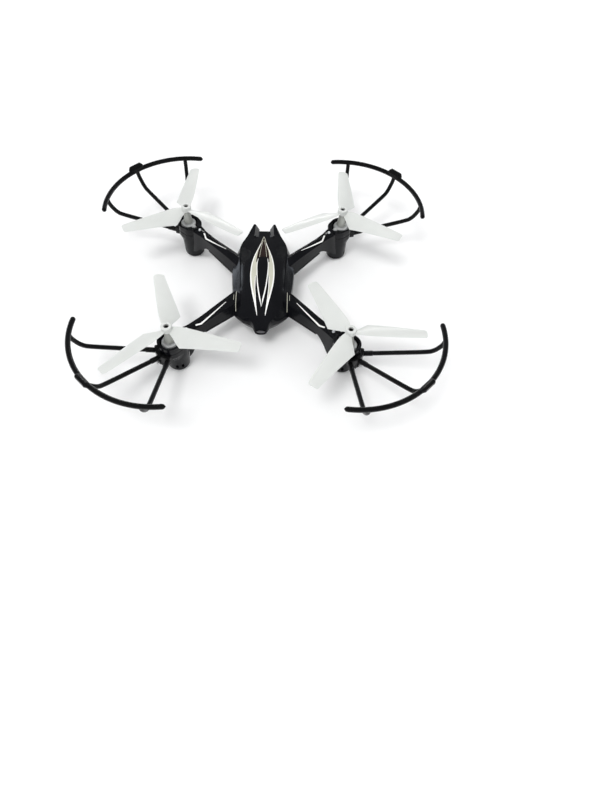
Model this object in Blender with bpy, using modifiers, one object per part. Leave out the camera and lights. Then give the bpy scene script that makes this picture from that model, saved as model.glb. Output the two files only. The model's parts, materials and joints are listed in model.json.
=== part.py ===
"""A toy quadcopter with propeller guards, modelled as the separate parts it is assembled from.

Sizes are millimetres until a mesh is made. The floor is z = 0, the nose faces -Y, and the origin
is on the floor below the middle of the four propeller shafts. Left and right are the
quadcopter's own, so left is +X.
"""

import math

import bmesh
import bpy
from mathutils import Matrix, Vector

MM = 0.001
GAP = 0.3  # between pieces that touch in the real object

# Layout
SHAFT = 66.5  # each propeller shaft's distance from both centre planes
CORNERS = {
    # name: (side in x, side in y, blade angle in degrees, hand of the propeller)
    "front_left": (1, -1, 119.4, -1),
    "front_right": (-1, -1, 103.6, 1),
    "rear_left": (1, 1, 87.0, 1),
    "rear_right": (-1, 1, 88.1, -1),
}

# Reduction gears: one pinion on each motor drives one spur gear on each propeller shaft
MODULE = 0.4
GEAR_TEETH = 30
PINION_TEETH = 8
CENTRES = MODULE * (GEAR_TEETH + PINION_TEETH) / 2
GEAR_Z = (27.4, 30.0)

# Shaft, bushing and motor
SHAFT_R = 0.75
SHAFT_Z = (14.6, 43.0)
BUSHING_Z = (15.7, 26.0)
MOTOR_R = 4.0
MOTOR_Z = (2.2, 22.4)

# Motor pod: a gear cup about the propeller shaft on a leg that stands inboard of it
CUP_R = 9.5
CUP_FLOOR = 24.0
RIM_Z = 31.0
LEG_SHIFT = -4.0
POD_SECTIONS = (
    # height, radius about the shaft, radius about the leg's middle
    (0.0, 2.0, 6.2),
    (0.7, 2.0, 7.6),
    (2.4, 2.0, 8.4),
    (12.0, 4.0, 8.9),
    (17.0, 7.9, 9.1),
    (20.5, 9.3, 9.1),
    (RIM_Z, CUP_R, 8.8),
)

# Propeller
HUB_TOP = 47.5
BLADE_Z = 43.6
BLADE_STATIONS = (
    # distance out, leading edge, trailing edge, pitch in degrees
    (1.5, 1.8, -1.8, 24),
    (5.0, 3.1, -4.0, 24),
    (9.0, 3.9, -7.4, 22),
    (13.5, 4.3, -11.0, 20),
    (24.0, 4.5, -9.3, 16),
    (38.0, 4.4, -7.0, 12),
    (50.0, 4.2, -5.0, 9),
    (54.8, 4.0, -4.3, 8),
    (56.2, 2.8, -3.2, 8),
)
BLADE_THICK = 1.1

# Propeller guard
GUARD_ARC = 66.5
GUARD_SHIFT = 2.4
GUARD_Z = 46.0
GUARD_SPAN = 51.5
GUARD_WIRE = 1.95
SPOKE_WIRE = 1.75
GUARD_BLOCK = (  # (outwards, up) from the middle of the wire
    (-1.8, -0.4), (-1.6, 2.6), (1.0, 4.8), (3.0, 4.2), (3.3, 1.6), (0.4, -0.8),
)
SPOKE_ANGLES = (-38.0, 0.0, 38.0)

# Body: stations from nose to tail, each half of the upper outline as (x, z) points from the
# middle outwards: canopy middle, canopy edge, flank, crest, facet edge. The last two columns are
# the half width at the parting plane and the height of the belly.
PARTING = 20.0
BODY_STATIONS = (
    (-47.6, (0.0, 22.6), (1.5, 22.5), (2.3, 22.3), (3.2, 22.0), (3.5, 21.0), 3.6, 17.4),
    (-46.6, (0.0, 23.8), (2.0, 23.6), (3.0, 23.3), (4.1, 22.8), (4.8, 21.4), 5.0, 16.0),
    (-43.6, (0.0, 25.8), (2.8, 25.4), (4.2, 24.9), (5.4, 24.2), (5.8, 21.8), 5.9, 14.6),
    (-40.4, (0.0, 27.4), (3.6, 27.0), (5.4, 26.2), (7.4, 25.1), (8.0, 22.2), 8.2, 13.8),
    (-38.6, (0.0, 28.2), (4.2, 27.8), (7.0, 26.9), (9.8, 25.7), (13.6, 22.4), 14.2, 13.8),
    (-30.5, (0.0, 31.2), (6.4, 30.4), (10.6, 29.0), (14.8, 26.8), (21.0, 22.8), 22.0, 9.4),
    (-22.0, (0.0, 33.2), (7.9, 32.4), (12.4, 30.6), (16.8, 27.6), (22.2, 23.2), 22.8, 8.0),
    (-12.0, (0.0, 34.8), (9.0, 34.0), (13.6, 31.8), (17.8, 28.4), (23.2, 23.6), 23.8, 8.0),
    (0.0, (0.0, 36.0), (9.8, 35.1), (14.4, 32.7), (18.6, 29.0), (24.8, 24.0), 25.2, 8.0),
    (14.0, (0.0, 36.4), (9.9, 35.4), (14.8, 33.1), (19.2, 29.6), (25.6, 24.2), 25.8, 8.0),
    (26.0, (0.0, 36.0), (8.6, 35.2), (14.4, 33.4), (19.8, 30.4), (25.2, 24.4), 25.6, 8.0),
    (33.0, (0.0, 35.5), (7.5, 34.9), (13.8, 33.5), (19.8, 31.0), (23.0, 24.8), 23.4, 8.0),
    (38.0, (0.0, 35.1), (6.6, 34.6), (12.8, 33.6), (18.9, 31.4), (20.5, 25.2), 20.8, 8.0),
    (46.4, (0.0, 34.2), (5.3, 33.8), (9.6, 33.7), (14.9, 32.4), (16.3, 26.0), 16.5, 9.0),
    (47.8, (0.0, 29.2), (4.7, 29.2), (8.4, 33.6), (14.2, 32.6), (15.6, 26.2), 15.8, 9.4),
    (60.5, (0.0, 28.4), (4.5, 28.4), (7.6, 34.2), (9.2, 34.5), (9.6, 28.4), 9.8, 15.0),
)
WALL = 1.6
FLOOR = 2.9  # thickness of the belly, which holds the battery door's grooves

# Arms: stations outwards along the diagonal, each an outline of (offset, height) points. The
# offset is across the arm, positive towards the tail.
ARM_STATIONS = (
    (24.0, ((7.0, 20.3), (6.6, 28.6), (3.0, 29.8), (-3.4, 28.0), (-7.6, 20.3))),
    (44.0, ((5.4, 20.3), (5.0, 29.4), (2.2, 30.4), (-3.0, 28.6), (-5.6, 20.3))),
    (65.0, ((4.0, 20.3), (3.6, 29.8), (1.4, 30.6), (-3.2, 28.9), (-3.9, 20.3))),
    (73.0, ((4.4, 17.0), (3.6, 30.0), (0.8, 30.7), (-3.4, 29.2), (-4.8, 16.0))),
    (81.0, ((5.9, 11.0), (4.8, 30.2), (0.2, 30.8), (-4.4, 29.6), (-6.2, 9.0))),
    (88.0, ((6.2, 7.0), (5.0, 30.3), (0.0, 30.9), (-5.0, 30.1), (-6.2, 6.0))),
)
ARM_CHANNEL = (20.0, 61.0)
LED_AT = 78.4  # along the diagonal

# Case screws, battery, board, switch and lens
SCREWS = {"front": (-23.0, 27.0), "rear": (22.0, 31.2)}  # place along Y, top of the upper post
SCREW_X = 14.6
BATTERY = (17.0, 36.0, 8.0)
BATTERY_Z = 11.3
DOOR = (20.0, 46.0)
DOOR_FRONT = -18.0
SWITCH_Y = -22.5


def collection(name):
    made = bpy.data.collections.new(name)
    bpy.context.scene.collection.children.link(made)
    return made


def material(name, colour, roughness, metallic=0.0):
    made = bpy.data.materials.new(name)
    made.use_nodes = True
    shader = made.node_tree.nodes["Principled BSDF"]
    shader.inputs["Base Color"].default_value = (*colour, 1.0)
    shader.inputs["Roughness"].default_value = roughness
    shader.inputs["Metallic"].default_value = metallic
    made.diffuse_color = (*colour, 1.0)
    return made


def clear_scene():
    for thing in list(bpy.data.objects):
        bpy.data.objects.remove(thing, do_unlink=True)


clear_scene()
PARTS = collection("quadcopter")
TOOLS = collection("cutters")
BLACK = material("black_abs", (0.012, 0.012, 0.014), 0.22)
GUARD_BLACK = material("guard_nylon", (0.02, 0.02, 0.02), 0.4)
WHITE = material("propeller_plastic", (0.83, 0.85, 0.82), 0.35)
GEAR_WHITE = material("gear_nylon", (0.72, 0.73, 0.72), 0.4)
STEEL = material("steel", (0.55, 0.55, 0.56), 0.3, 1.0)
BRASS = material("bushing_bronze", (0.68, 0.5, 0.24), 0.4, 1.0)
LENS = material("lens", (0.02, 0.02, 0.03), 0.08)
CLEAR = material("led_lens", (0.85, 0.88, 0.9), 0.12)
BOARD = material("circuit_board", (0.02, 0.16, 0.06), 0.5)
FOIL = material("battery_wrap", (0.42, 0.45, 0.5), 0.35)


# Making shapes


def put(name, mesh, where=PARTS, look=None):
    made = bpy.data.objects.new(name, mesh)
    where.objects.link(made)
    if where is TOOLS:
        made.hide_render = True
        made.display_type = "WIRE"
    if look:
        mesh.materials.clear()
        mesh.materials.append(look)
        mesh.shade_smooth()
        mesh.set_sharp_from_angle(angle=math.radians(32))
    return made


def mesh_of(name, form):
    """The mesh of a bmesh in millimetres, scaled to metres, with its faces turned outwards."""
    bmesh.ops.remove_doubles(form, verts=form.verts, dist=1e-4)
    bmesh.ops.recalc_face_normals(form, faces=form.faces)
    bmesh.ops.scale(form, vec=(MM, MM, MM), verts=form.verts)
    made = bpy.data.meshes.new(name)
    form.to_mesh(made)
    form.free()
    return made


def evaluated(thing):
    """The mesh of an object with its modifiers applied; the object is removed."""
    graph = bpy.context.evaluated_depsgraph_get()
    made = bpy.data.meshes.new_from_object(thing.evaluated_get(graph))
    bpy.data.objects.remove(thing, do_unlink=True)
    form = bmesh.new()
    form.from_mesh(made)
    bmesh.ops.remove_doubles(form, verts=form.verts, dist=1e-7)
    bmesh.ops.recalc_face_normals(form, faces=form.faces)
    form.to_mesh(made)
    form.free()
    return made


def box(low, high, bevel=0.0):
    """A block between two corners, with rounded edges if bevel is given."""
    form = bmesh.new()
    bmesh.ops.create_cube(form, size=1.0)
    size = Vector(high) - Vector(low)
    middle = (Vector(high) + Vector(low)) / 2
    bmesh.ops.scale(form, vec=size, verts=form.verts)
    bmesh.ops.translate(form, vec=middle, verts=form.verts)
    if bevel:
        bmesh.ops.bevel(form, geom=form.edges, offset=bevel, segments=1, affect="EDGES")
    return mesh_of("box", form)


def rod(radius, low, high, sides=24, at=(0.0, 0.0)):
    """An upright cylinder between two heights."""
    form = bmesh.new()
    place = Matrix.Translation((at[0], at[1], (low + high) / 2))
    bmesh.ops.create_cone(
        form, cap_ends=True, segments=sides, radius1=radius, radius2=radius,
        depth=high - low, matrix=place,
    )
    return mesh_of("rod", form)


def turned(profile, sides=24):
    """A profile of (radius, height) points, outside from top to bottom, turned about Z."""
    form = bmesh.new()
    points = [form.verts.new((radius * MM, 0.0, height * MM)) for radius, height in profile]
    for first, second in zip(points, points[1:]):
        form.edges.new((first, second))
    if profile[0][0] > 0.0:
        form.edges.new((points[-1], points[0]))
    made = bpy.data.meshes.new("profile")
    form.to_mesh(made)
    form.free()
    thing = put("turned", made, TOOLS)
    screw = thing.modifiers.new("Screw", "SCREW")
    screw.steps = screw.render_steps = sides
    screw.use_merge_vertices = True
    screw.merge_threshold = 1e-6
    return evaluated(thing)


def plate(outlines, low, high):
    """Flat closed outlines, the first filled and the others holes in it, from low to high."""
    curve = bpy.data.curves.new("outline", "CURVE")
    curve.dimensions = "2D"
    curve.fill_mode = "BOTH"
    curve.extrude = (high - low) / 2 * MM
    for outline in outlines:
        spline = curve.splines.new("POLY")
        spline.points.add(len(outline) - 1)
        spline.use_cyclic_u = True
        for point, (x, y) in zip(spline.points, outline):
            point.co = (x * MM, y * MM, 0.0, 1.0)
    thing = put("outline", curve, TOOLS)
    made = evaluated(thing)
    made.transform(Matrix.Translation((0.0, 0.0, (high + low) / 2 * MM)))
    return made


def tube(path, radius):
    """A round wire through points, with closed ends."""
    curve = bpy.data.curves.new("wire", "CURVE")
    curve.dimensions = "3D"
    curve.bevel_depth = radius * MM
    curve.bevel_resolution = 1
    curve.use_fill_caps = True
    spline = curve.splines.new("POLY")
    spline.points.add(len(path) - 1)
    for point, place in zip(spline.points, path):
        point.co = (*(Vector(place) * MM), 1.0)
    return evaluated(put("wire", curve, TOOLS))


def loft(rings):
    """A closed solid through rings with the same number of points."""
    form = bmesh.new()
    rows = [[form.verts.new(point) for point in ring] for ring in rings]
    for row, after in zip(rows, rows[1:]):
        for i in range(len(row)):
            j = (i + 1) % len(row)
            form.faces.new((row[i], row[j], after[j], after[i]))
    form.faces.new(rows[0])
    form.faces.new(rows[-1])
    return mesh_of("loft", form)


def boolean(thing, operation, meshes):
    """Join meshes to an object or cut them from it, in order."""
    for mesh in meshes:
        tool = put(thing.name + "_tool", mesh, TOOLS)
        step = thing.modifiers.new(tool.name, "BOOLEAN")
        step.operation = operation
        step.object = tool


def solid(name, look, base, joined=(), cut=()):
    """A part: a base mesh, with meshes joined to it and then others cut from it."""
    thing = put(name, base, PARTS, look)
    boolean(thing, "UNION", joined)
    boolean(thing, "DIFFERENCE", cut)
    return thing


def finished(name, look, base, joined=(), cut=()):
    """The mesh of such a part, for parts that are placed more than once."""
    thing = solid(name, look, base, joined, cut)
    tools = [step.object for step in thing.modifiers]
    made = evaluated(thing)
    for tool in tools:
        bpy.data.objects.remove(tool, do_unlink=True)
    made.materials.clear()
    made.materials.append(look)
    made.shade_smooth()
    made.set_sharp_from_angle(angle=math.radians(32))
    return made


def moved(mesh, matrix):
    made = mesh.copy()
    shift = matrix.copy()
    shift.translation *= MM
    made.transform(shift)
    if matrix.determinant() < 0:
        made.flip_normals()
    return made


def circle(radius, count, at=(0.0, 0.0)):
    turn = 2 * math.pi / count
    return [
        (at[0] + radius * math.cos(i * turn), at[1] + radius * math.sin(i * turn))
        for i in range(count)
    ]


# One corner, about its propeller shaft, with +X pointing outwards along the diagonal


def pod_outline(shaft_radius, leg_radius, count=24):
    """The outline around two circles, one about the shaft and one about the leg's middle."""
    points = []
    for i in range(count):
        angle = 2 * math.pi * (i + 0.5) / count
        out = Vector((math.cos(angle), math.sin(angle)))
        reach = max(
            ((LEG_SHIFT, leg_radius), (0.0, shaft_radius)),
            key=lambda one: one[0] * out.x + one[1],
        )
        points.append((reach[0] + reach[1] * out.x, reach[1] * out.y))
    return points


def pod_envelope(grow=0.0):
    rings = []
    for height, shaft_radius, leg_radius in POD_SECTIONS:
        outline = pod_outline(shaft_radius + grow, leg_radius + grow)
        rings.append([(x, y, height) for x, y in outline])
    rings[0] = [(x, y, -grow) for x, y, _ in rings[0]]
    rings[-1] = [(x, y, RIM_Z + grow) for x, y, _ in rings[-1]]
    return loft(rings)


def motor_pod():
    bushing_hole = rod(1.64, SHAFT_Z[0] - GAP, CUP_FLOOR + 1, 12)
    cup = rod(7.6, CUP_FLOOR, RIM_Z + 1, 24)
    pinion_pocket = rod(2.9, CUP_FLOOR - 1, RIM_Z + 1, 12, (-CENTRES, 0.0))
    motor_bore = rod(MOTOR_R + 0.2, MOTOR_Z[0] - GAP, CUP_FLOOR + 1, 16, (-CENTRES, 0.0))
    screw_hole = moved(rod(0.85, 0.0, 12.0, 10), guard_screw_place())
    cuts = (cup, pinion_pocket, motor_bore, bushing_hole, screw_hole)
    return finished("motor_pod", BLACK, pod_envelope(), cut=cuts)


def guard_screw_place():
    """Where the guard's screw lies: its head outwards, its axis level, below the middle spoke."""
    return Matrix.Translation((3.4, 0.0, 16.4)) @ Matrix.Rotation(math.pi / 2, 4, "Y")


def guard_screw():
    profile = ((0.0, 11.4), (1.7, 11.2), (1.7, 10.1), (0.7, 10.1), (0.7, 0.4), (0.0, 0.4))
    slot = box((-0.25, -1.1, 10.9), (0.25, 1.1, 12.0))
    screw = finished("guard_screw", STEEL, turned(profile, 12), cut=(slot,))
    return moved(screw, guard_screw_place())


def arc_reach(degrees):
    """The distance from the shaft to the guard's arc in a direction."""
    angle = math.radians(degrees)
    along, across = GUARD_SHIFT * math.cos(angle), GUARD_SHIFT * math.sin(angle)
    return along + math.sqrt(GUARD_ARC**2 - across**2)


def spoke(degrees):
    """A spoke from the bracket, out under the propeller and up to the arc."""
    bend = ((10.5, 20.6), (14.0, 21.4), (57.0, 31.0), (62.2, 33.4), (65.4, 37.2))
    reach = arc_reach(degrees)
    angle = math.radians(degrees)
    path = [*bend, (reach - 0.8, 41.6), (reach, GUARD_Z)]
    return tube([(r * math.cos(angle), r * math.sin(angle), z) for r, z in path], SPOKE_WIRE)


def prop_guard():
    steps = 16
    arc = []
    for i in range(steps + 1):
        angle = math.radians(GUARD_SPAN * (2 * i / steps - 1))
        arc.append((GUARD_SHIFT + GUARD_ARC * math.cos(angle), GUARD_ARC * math.sin(angle), GUARD_Z))
    reach = arc_reach(0)
    ends = ((-7.2, 0.55), (-5.2, 1.0), (5.2, 1.0), (7.2, 0.55))
    block = loft([[(reach + out * size, y, GUARD_Z + up * size) for out, up in GUARD_BLOCK]
                  for y, size in ends])
    wings = [(12.4 * math.cos(math.radians(a)), 12.4 * math.sin(math.radians(a)))
             for a in range(-48, 49, 16)]
    bracket = plate([[(3.0, -6.0), *wings, (3.0, 6.0)]], 18.0, 24.6)
    tab = box((2.0, -3.6, 13.6), (12.2, 3.6, 19.0))
    hole = moved(rod(1.0, 0.0, 20.0, 12), guard_screw_place())
    joined = [spoke(degrees) for degrees in SPOKE_ANGLES] + [block, bracket, tab]
    return finished("prop_guard", GUARD_BLACK, tube(arc, GUARD_WIRE), joined, (pod_envelope(GAP), hole))


def tooth_outline(teeth, phase, thin=0.86):
    """Straight-sided teeth with backlash, the first tooth centred on the phase angle."""
    pitch_radius = MODULE * teeth / 2
    root, tip = pitch_radius - 1.2 * MODULE, pitch_radius + 0.95 * MODULE
    pitch = 2 * math.pi / teeth
    flare = math.tan(math.radians(20))
    half = MODULE * math.pi / 4 * thin
    root_half = (half + flare * (pitch_radius - root) * 0.6) / root
    tip_half = (half - flare * (tip - pitch_radius) * 1.3) / tip
    points = []
    for i in range(teeth):
        middle = phase + i * pitch
        corners = ((root, -root_half), (tip, -tip_half), (tip, tip_half), (root, root_half))
        for radius, turn in corners:
            points.append((radius * math.cos(middle + turn), radius * math.sin(middle + turn)))
    return points


def spur_gear():
    teeth = tooth_outline(GEAR_TEETH, math.pi + math.pi / GEAR_TEETH)
    disc = plate([teeth, circle(0.87, 12)], *GEAR_Z)
    boss = plate([circle(2.6, 16), circle(0.87, 12)], BUSHING_Z[1] + GAP, GEAR_Z[1] + 0.6)
    return finished("spur_gear", GEAR_WHITE, disc, (boss,))


def pinion():
    teeth = tooth_outline(PINION_TEETH, 0.0)
    shaft = rod(0.5, 23.6, 30.8, 8)
    return finished("pinion", GEAR_WHITE, plate([teeth], 26.9, 30.4), (shaft,))


def motor():
    low, high = MOTOR_Z
    profile = (
        (0.0, high + 0.8), (1.1, high + 0.8), (1.1, high), (MOTOR_R - 0.4, high),
        (MOTOR_R, high - 0.4), (MOTOR_R, low), (0.0, low),
    )
    return moved(turned(profile, 16), Matrix.Translation((-CENTRES, 0.0, 0.0)))


def prop_shaft():
    low, high = SHAFT_Z
    profile = ((0.0, high), (SHAFT_R, high), (SHAFT_R, low + 0.8), (1.25, low + 0.8), (1.25, low), (0.0, low))
    return turned(profile, 12)


def bushing():
    low, high = BUSHING_Z
    hole = 0.83
    return turned(((hole, high), (2.1, high), (2.1, high - 0.8), (1.5, high - 0.8), (1.5, low), (hole, low)), 12)


def prop_screw():
    profile = ((0.0, 46.5), (1.6, 46.3), (1.6, 45.3), (0.6, 45.3), (0.6, 43.3), (0.0, 43.3))
    slot = box((-0.22, -1.1, 46.0), (0.22, 1.1, 47.0))
    return finished("prop_screw", STEEL, turned(profile, 12), cut=(slot,))


def blade():
    """A blade along +X, its leading edge at +Y, pitched about its own line."""
    rings = []
    for out, lead, trail, pitch in BLADE_STATIONS:
        slope = math.tan(math.radians(pitch))
        middle = (lead + trail) / 2
        half = BLADE_THICK / 2
        ring = []
        for across, rise in ((lead, 0.15), (middle + 1.2, 1.1), (trail, 0.0), (middle + 1.2, -0.1)):
            edge = -half * 0.4 if rise in (0.15, 0.0) else 0.0
            ring.append((out, across, BLADE_Z + across * slope + rise * half * 2 + edge))
        rings.append(ring)
    return loft(rings)


def propeller():
    hub = turned(
        (
            (1.95, HUB_TOP), (3.6, HUB_TOP), (4.1, HUB_TOP - 0.5), (4.1, 43.4), (2.5, 41.4),
            (3.2, 31.0), (0.87, 31.0), (0.87, 45.0), (1.95, 45.0),
        ),
        18,
    )
    blades = [moved(blade(), Matrix.Rotation(math.radians(120 * i), 4, "Z")) for i in range(3)]
    well = rod(1.95, 45.0, HUB_TOP + 1, 18)
    bore = rod(0.87, 30.0, 45.5, 18)
    return finished("propeller", WHITE, hub, blades, (well, bore))


def led():
    profile = [(1.2 * math.cos(math.radians(a)), 31.2 + 1.2 * math.sin(math.radians(a)))
               for a in range(90, -1, -30)]
    profile[0] = (0.0, 32.4)
    return turned((*profile, (1.2, 28.6), (0.0, 28.6)), 12)


def corner_matrix(side_x, side_y):
    angle = math.atan2(side_y, side_x)
    return Matrix.Translation((side_x * SHAFT, side_y * SHAFT, 0.0)) @ Matrix.Rotation(angle, 4, "Z")


def diagonal_matrix(side_x, side_y):
    """Turns (along, offset towards the tail, height) into the quadcopter's own axes."""
    along = Vector((side_x, side_y, 0.0)).normalized()
    across = Vector((-side_x * side_y, 1.0, 0.0)).normalized()
    return Matrix((
        (along.x, across.x, 0.0, 0.0), (along.y, across.y, 0.0, 0.0),
        (0.0, 0.0, 1.0, 0.0), (0.0, 0.0, 0.0, 1.0),
    ))


def corners():
    shared = {
        "motor_pod": (motor_pod(), BLACK),
        "prop_guard": (prop_guard(), GUARD_BLACK),
        "guard_screw": (guard_screw(), STEEL),
        "motor": (motor(), STEEL),
        "bushing": (bushing(), BRASS),
        "prop_shaft": (prop_shaft(), STEEL),
        "spur_gear": (spur_gear(), GEAR_WHITE),
        "prop_screw": (prop_screw(), STEEL),
    }
    right_hand = propeller()
    left_hand = moved(right_hand, Matrix.Scale(-1, 4, (0.0, 1.0, 0.0)))
    toothed, lens = pinion(), led()
    for corner, (side_x, side_y, blade_angle, hand) in CORNERS.items():
        frame = corner_matrix(side_x, side_y)
        metres = frame.copy()
        metres.translation *= MM
        for name, (mesh, look) in shared.items():
            put(f"{name}_{corner}", mesh, PARTS, look).matrix_world = metres
        shift = Matrix.Translation((-CENTRES * MM, 0.0, 0.0))
        put(f"pinion_{corner}", toothed, PARTS, GEAR_WHITE).matrix_world = metres @ shift
        turn = Matrix.Translation(metres.translation) @ Matrix.Rotation(math.radians(blade_angle), 4, "Z")
        mesh = right_hand if hand > 0 else left_hand
        put(f"propeller_{corner}", mesh, PARTS, WHITE).matrix_world = turn
        spot = diagonal_matrix(side_x, side_y) @ Vector((LED_AT, 0.0, 0.0))
        put(f"led_{corner}", lens, PARTS, CLEAR).location = spot * MM


# The body


def body_ring(station, upper, inset=0.0):
    """One closed outline of the upper or lower half of the body."""
    y, *crown, width, belly = station
    if upper:
        half = [*crown, (width, PARTING + GAP / 2)]
        if inset:
            half = [(max(x - inset, 0.0), z - inset) for x, z in crown]
            half += [(width - inset, PARTING + 1.0), (width - inset, PARTING - 2.0)]
    else:
        bilge = belly + (PARTING - belly) * 0.45
        half = [(0.0, belly), (width * 0.56, belly), (width * 0.84, bilge), (width, PARTING - GAP / 2)]
        if inset:
            half = [(x - inset if x else 0.0, z + FLOOR) for x, z in half[:3]]
            half += [(width - inset, PARTING - 1.0), (width - inset, PARTING + 2.0)]
    right = [(x, y, z) for x, z in half]
    left = [(-x, y, z) for x, z in half[1:]]
    return right[::-1] + left


def body_half(upper, inset=0.0):
    stations = BODY_STATIONS
    if inset:
        nose = -42.0 if upper else -36.0
        stations = [one for one in BODY_STATIONS if nose < one[0] < 47.0]
    return loft([body_ring(station, upper, inset) for station in stations])


def arm(side_x, side_y):
    rings = [[(along, across, z) for across, z in ring] for along, ring in ARM_STATIONS]
    return moved(loft(rings), diagonal_matrix(side_x, side_y))


def arm_channel(side_x, side_y):
    """The hollow in an arm that carries the motor's wires, open below."""
    inner = ((2.4, 19.0), (2.2, 27.6), (1.0, 28.6), (-1.8, 27.2), (-2.4, 19.0))
    rings = [[(along, across, z) for across, z in inner] for along in ARM_CHANNEL]
    return moved(loft(rings), diagonal_matrix(side_x, side_y))


def arm_cover(side_x, side_y):
    """The underside of an arm, part of the bottom shell."""
    outline = [(22.0, 7.2), (64.0, 4.0), (64.0, -3.9), (22.0, -7.8)]
    slab = plate([outline], PARTING - GAP / 2 - WALL, PARTING - GAP / 2)
    return moved(slab, diagonal_matrix(side_x, side_y))


def nose_cutter(radius_x=4.0, radius_z=2.6, front=-50.0, back=-43.0):
    round_bar = rod(1.0, -1.0, 1.0, 20)
    stretch = Matrix.Diagonal((radius_x, radius_z, (back - front) / 2, 1.0))
    place = Matrix.Translation((0.0, (front + back) / 2, 19.8)) @ Matrix.Rotation(math.pi / 2, 4, "X")
    return moved(round_bar, place @ stretch)


def screw_places():
    return [(side * SCREW_X, y) for y, _ in SCREWS.values() for side in (1, -1)]


def top_shell():
    sides = [corner[:2] for corner in CORNERS.values()]
    posts = [
        rod(2.6, PARTING + GAP / 2, top, 12, (side * SCREW_X, y))
        for y, top in SCREWS.values() for side in (1, -1)
    ]
    cuts = [body_half(True, WALL)]
    cuts += [arm_channel(*side) for side in sides]
    pod = pod_envelope(GAP)
    cuts += [moved(pod, corner_matrix(*side)) for side in sides]
    cuts += [
        rod(1.45, 28.2, 34.0, 12, (diagonal_matrix(*side) @ Vector((LED_AT, 0.0, 0.0)))[:2])
        for side in sides
    ]
    cuts.append(nose_cutter())
    cuts.append(box((-4.6, 58.5, 16.0), (4.6, 66.0, 40.0)))
    shell = solid("top_shell", BLACK, body_half(True), [arm(*side) for side in sides], cuts)
    boolean(shell, "UNION", posts)
    boolean(shell, "DIFFERENCE", [rod(1.15, PARTING - 1, 26.0, 10, place) for place in screw_places()])


def bottom_shell():
    sides = [corner[:2] for corner in CORNERS.values()]
    covers = [arm_cover(*side) for side in sides]
    half_x, length = DOOR[0] / 2, DOOR[1]
    front = DOOR_FRONT
    rear = front + length
    cuts = [body_half(False, WALL), nose_cutter()]
    cuts.append(box((1.5 - half_x, front + 2, 7.0), (half_x - 1.5, rear - 4, 12.0)))
    cuts.append(box((-half_x - GAP, front - GAP, 7.0), (half_x + GAP, 64.0, 9.0)))
    cuts.append(box((-half_x - 1.5 - GAP, front - GAP, 8.5), (half_x + 1.5 + GAP, 64.0, 9.3)))
    cuts.append(box((-2.7, SWITCH_Y - 1.6, 7.0), (2.7, SWITCH_Y + 1.6, 13.0)))
    cuts.append(box((-4.6, 58.5, 10.0), (4.6, 66.0, 22.0)))
    posts = [rod(2.8, 12.0, PARTING - GAP / 2, 12, place) for place in screw_places()]
    shell = solid("bottom_shell", BLACK, body_half(False), covers, cuts)
    boolean(shell, "UNION", posts)
    holes = [rod(1.25, 7.0, 21.0, 10, place) for place in screw_places()]
    heads = [rod(2.3, 7.0, 11.0, 12, place) for place in screw_places()]
    boolean(shell, "DIFFERENCE", holes + heads)


def case_screws():
    profile = ((0.0, 24.6), (0.9, 24.6), (0.9, 10.7), (1.9, 10.7), (1.9, 9.4), (0.0, 9.2))
    slot = box((-0.25, -1.2, 8.4), (0.25, 1.2, 9.8))
    mesh = finished("case_screw", STEEL, turned(profile, 10), cut=(slot,))
    for end, (y, _) in SCREWS.items():
        for side, name in ((1, "left"), (-1, "right")):
            screw = put(f"case_screw_{end}_{name}", mesh, PARTS, STEEL)
            screw.location = Vector((side * SCREW_X, y, 0.0)) * MM


def battery_door():
    """A sliding plate, wider in its upper layer, which runs in grooves in the bottom shell."""
    half_x, length = DOOR[0] / 2, DOOR[1]
    front = DOOR_FRONT
    tongue = box((-half_x - 1.5, front, 8.65), (half_x + 1.5, front + length, 9.15))
    grips = [box((-7.0, y, 7.0), (7.0, y + 0.8, 8.3)) for y in (17.0, 19.5, 22.0)]
    slab = box((-half_x, front, 8.0), (half_x, front + length, 8.9))
    solid("battery_door", BLACK, slab, [tongue], grips)


def inside():
    width, length, height = BATTERY
    corner = (width / 2, length / 2 + 4.0, BATTERY_Z + height)
    solid("battery", FOIL, box((-corner[0], 4.0 - length / 2, BATTERY_Z), corner, 0.8))
    board = box((-12.0, -15.0, 21.6), (12.0, 18.0, 22.8))
    chips = [box((-5.0, -8.0, 22.5), (2.0, -1.0, 24.2)), box((3.0, 4.0, 22.5), (7.5, 11.0, 23.9))]
    solid("flight_board", BOARD, board, chips)
    knob = box((-2.4, SWITCH_Y - 1.2, 7.5), (0.4, SWITCH_Y + 1.2, 12.5), 0.2)
    base = box((-3.6, SWITCH_Y - 2.4, 11.8), (1.6, SWITCH_Y + 2.4, 13.0))
    solid("power_switch", GUARD_BLACK, base, [knob])
    lens = nose_cutter(3.7, 2.3, -47.9, -43.4)
    solid("nose_lens", LENS, lens)


top_shell()
bottom_shell()
case_screws()
battery_door()
inside()
corners()
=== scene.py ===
"""The looks of a toy quadcopter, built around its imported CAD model.

Lengths are millimetres until a piece is published, which turns them into metres. The floor is
z = 0, the nose faces -Y, and left and right are the quadcopter's own, so left is +X.
"""

import json
import math

import bmesh
import bpy
from mathutils import Matrix, Vector
from mathutils.bvhtree import BVHTree


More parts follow.
